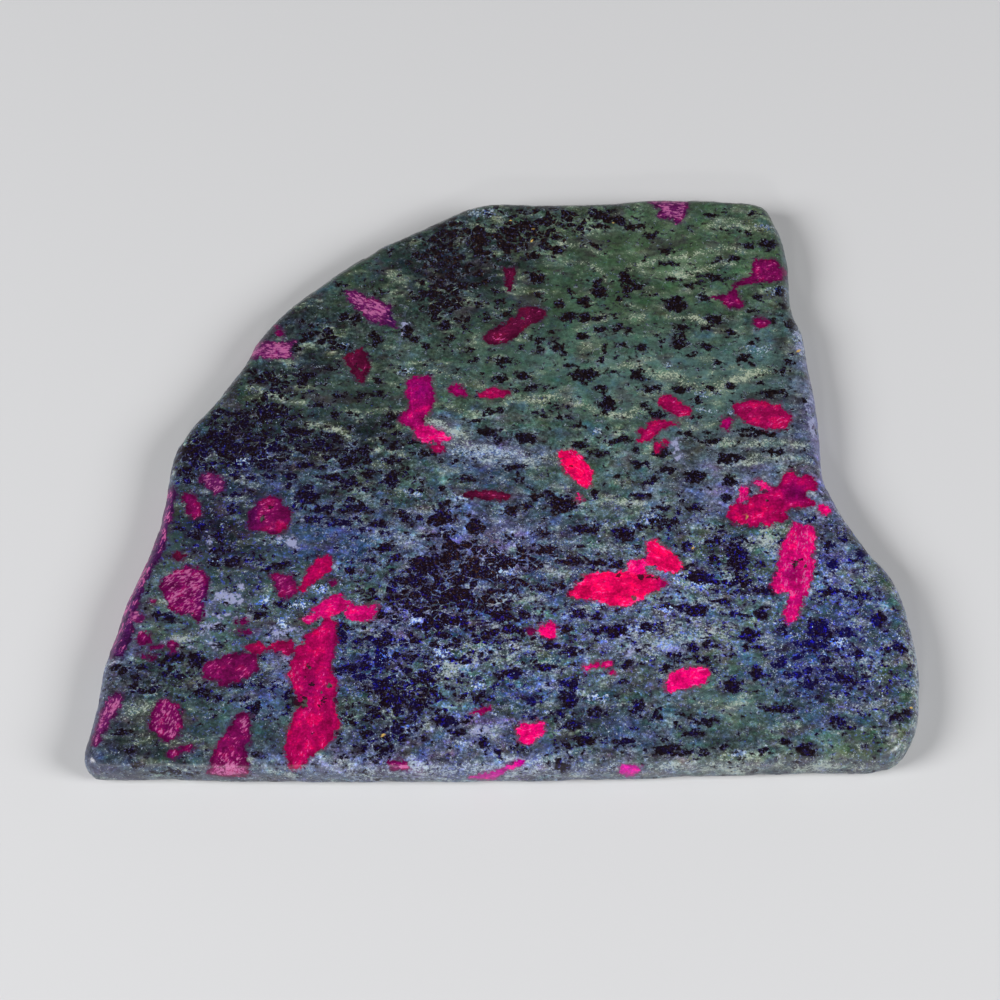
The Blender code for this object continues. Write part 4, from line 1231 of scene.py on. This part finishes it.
def with_blue_lights(s, base, patchy):
    """Painted light: blue and white glints, and deep blue spots of painted lamp light added on top,
    mostly where painted blue lamp light falls.
    """
    painted_blue_light = s.field("painted_blue_light")
    painted_sparks = s.swing(0.55, 1) + s.step(s.field("painted_glints"), -1.0, 0.4, 0.0, 1.7) - 2.5
    painted_sparks = s.step(painted_sparks, 0.0, 0.4) * (0.2 + 0.7 * painted_blue_light)
    base = s.blend(painted_sparks, base, s.blend(s.step(patchy, -1.0, 1.0), BLUE_PAINTED_GLINT, WHITE_PAINTED_GLINT))
    # Deep blue spots of painted lamp light, added on top.
    spot = s.step(s.swing(0.7, 2, 0.7), 0.9, 2.4) * painted_blue_light
    spot = spot * s.step(s.field("brown"), 0.0, 1.0, 1.0, 0.15)
    return s.blend(spot, base, DEEP_BLUE_PAINTED_LIGHT, "ADD")


def with_rubies(s, base, ragged, patchy):
    """The rubies, each in a dim halo, with the crumbs of hornblende in them."""
    depth = s.field("ruby") + ragged + 0.14
    halo = s.blend(0.3, RUBY_HALO, s.field("ruby_tone", "Color"))
    base = s.blend(s.step(depth, -0.8, 0.0, 0.0, 0.6), base, halo)
    base = s.blend(s.step(depth, -0.06, 0.08), base, ruby_colour(s))
    crumb = s.step(s.field("crumb") + ragged, -0.05, 0.12, 0.0, 0.9)
    return s.blend(crumb, base, s.blend(s.step(patchy, 0.0, 1.0), BLACK_CRUMB, GREEN_CRUMB))


def stone_material():
    material = bpy.data.materials.new("ruby_in_zoisite")
    material.use_nodes = True
    s = Shading(material)
    rim = s.field("rim")
    ragged = 0.22 * s.swing(1.6, 2, 0.6) + 0.1 * s.swing(0.45, 1)
    patchy = s.swing(2.0, 2, 0.6)
    amount = hornblende_amount(s)
    dark = s.step(amount, -0.03, 0.06)

    # The rim is paler where worn, and lilac with painted bluish lamp light.
    base = s.blend(0.2 * rim, zoisite_colour(s), WORN_RIM_AND_PAINTED_LIGHT)
    base = with_milk(s, base, ragged)
    base = with_painted_glints(s, base, amount, patchy)
    base = with_hornblende(s, base, amount, dark, patchy)
    base = with_blue_lights(s, base, patchy)
    base = with_rubies(s, base, ragged, patchy)
    # Golden grains, painted bright as glints of lamp light.
    base = s.blend(s.step(s.field("gold_and_glint"), -0.1, 0.05, 0.0, 0.9), base, GOLD_GRAIN_AND_GLINT)

    pores = {"Strength": 0.25, "Distance": 0.05 * MM, "Height": s.noise(0.5)}
    s.set_inputs(material.node_tree.nodes["Principled BSDF"], {
        "Base Color": base,
        "Roughness": 0.18 + 0.1 * s.noise(0.8) + 0.2 * rim + 0.06 * dark,
        "Normal": s.node("ShaderNodeBump", pores),
        "Specular IOR Level": 0.4,
        "IOR": 1.55,
    })
    return material


def make_slab():
    mesh, outline = fine_slab()
    add_fields(mesh)
    add_bake_map(mesh, outline)
    mesh.shade_smooth()
    mesh.materials.append(stone_material())
    slab = add_object("ruby_in_zoisite_slab", mesh)
    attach(slab, "root")
    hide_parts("slab")


# ---- The studio ----
FLOOR_SIZE = 6.0
FLOOR_DROP = 0.05 * MM  # below the slab, so that the two share no surface

# The lamps, each pointed at the slab: (place, width, power).
LAMPS = {
    "left": ((-1.1, -0.45, 0.8), 0.7, 19.0),
    "right": ((1.1, -0.45, 0.75), 0.7, 15.0),
    "front": ((-0.24, -1.2, 0.65), 0.12, 2.0),
}

# Pale walls all round and a dark ceiling, which the polished face mirrors: how their light falls
# with height.
WALL_FADE = {"From Min": 0.15, "From Max": 0.6, "To Min": 0.45, "To Max": 0.03}

# The camera looks down on the slab from in front, 58 degrees above the floor.
CAMERA_PLACE = (-0.00115, -0.27416, 0.43152)
CAMERA_TILT = math.radians(32.0)
CAMERA_LENS = 90.0
SENSOR_WIDTH = 36.0


def make_floor():
    bpy.ops.mesh.primitive_plane_add(size=FLOOR_SIZE, location=(0.0, 0.0, -FLOOR_DROP))
    floor = bpy.context.object
    floor.name = "floor"
    material = bpy.data.materials.new("floor")
    material.use_nodes = True
    shader = material.node_tree.nodes["Principled BSDF"]
    shader.inputs["Base Color"].default_value = (0.66, 0.66, 0.67, 1.0)
    shader.inputs["Roughness"].default_value = 0.8
    floor.data.materials.append(material)


def make_lamp(name, place, width, power):
    data = bpy.data.lights.new(name, "AREA")
    data.shape = "DISK"
    data.size = width
    data.energy = power
    lamp = add_object(name, data)
    lamp.location = place
    lamp.rotation_euler = (-Vector(place)).to_track_quat("-Z", "Y").to_euler()


def make_world():
    world = bpy.data.worlds.new("studio")
    world.use_nodes = True
    tree = world.node_tree
    toward = tree.nodes.new("ShaderNodeTexCoord")
    height = tree.nodes.new("ShaderNodeSeparateXYZ")
    tree.links.new(toward.outputs["Generated"], height.inputs[0])
    fade = tree.nodes.new("ShaderNodeMapRange")
    fade.interpolation_type = "SMOOTHSTEP"
    tree.links.new(height.outputs[2], fade.inputs["Value"])
    for name, value in WALL_FADE.items():
        fade.inputs[name].default_value = value
    tree.links.new(fade.outputs[0], tree.nodes["Background"].inputs["Strength"])
    tree.nodes["Background"].inputs["Color"].default_value = (0.95, 0.97, 1.0, 1.0)
    bpy.context.scene.world = world


def make_camera():
    data = bpy.data.cameras.new("camera")
    data.lens = CAMERA_LENS
    data.sensor_width = SENSOR_WIDTH
    camera = add_object("camera", data)
    camera.location = CAMERA_PLACE
    camera.rotation_euler = (CAMERA_TILT, 0.0, 0.0)
    bpy.context.scene.camera = camera


make_camera()
make_slab()
make_floor()
for lamp_name, lamp in LAMPS.items():
    make_lamp(lamp_name, *lamp)
make_world()
bpy.context.scene.view_settings.view_transform = "Standard"
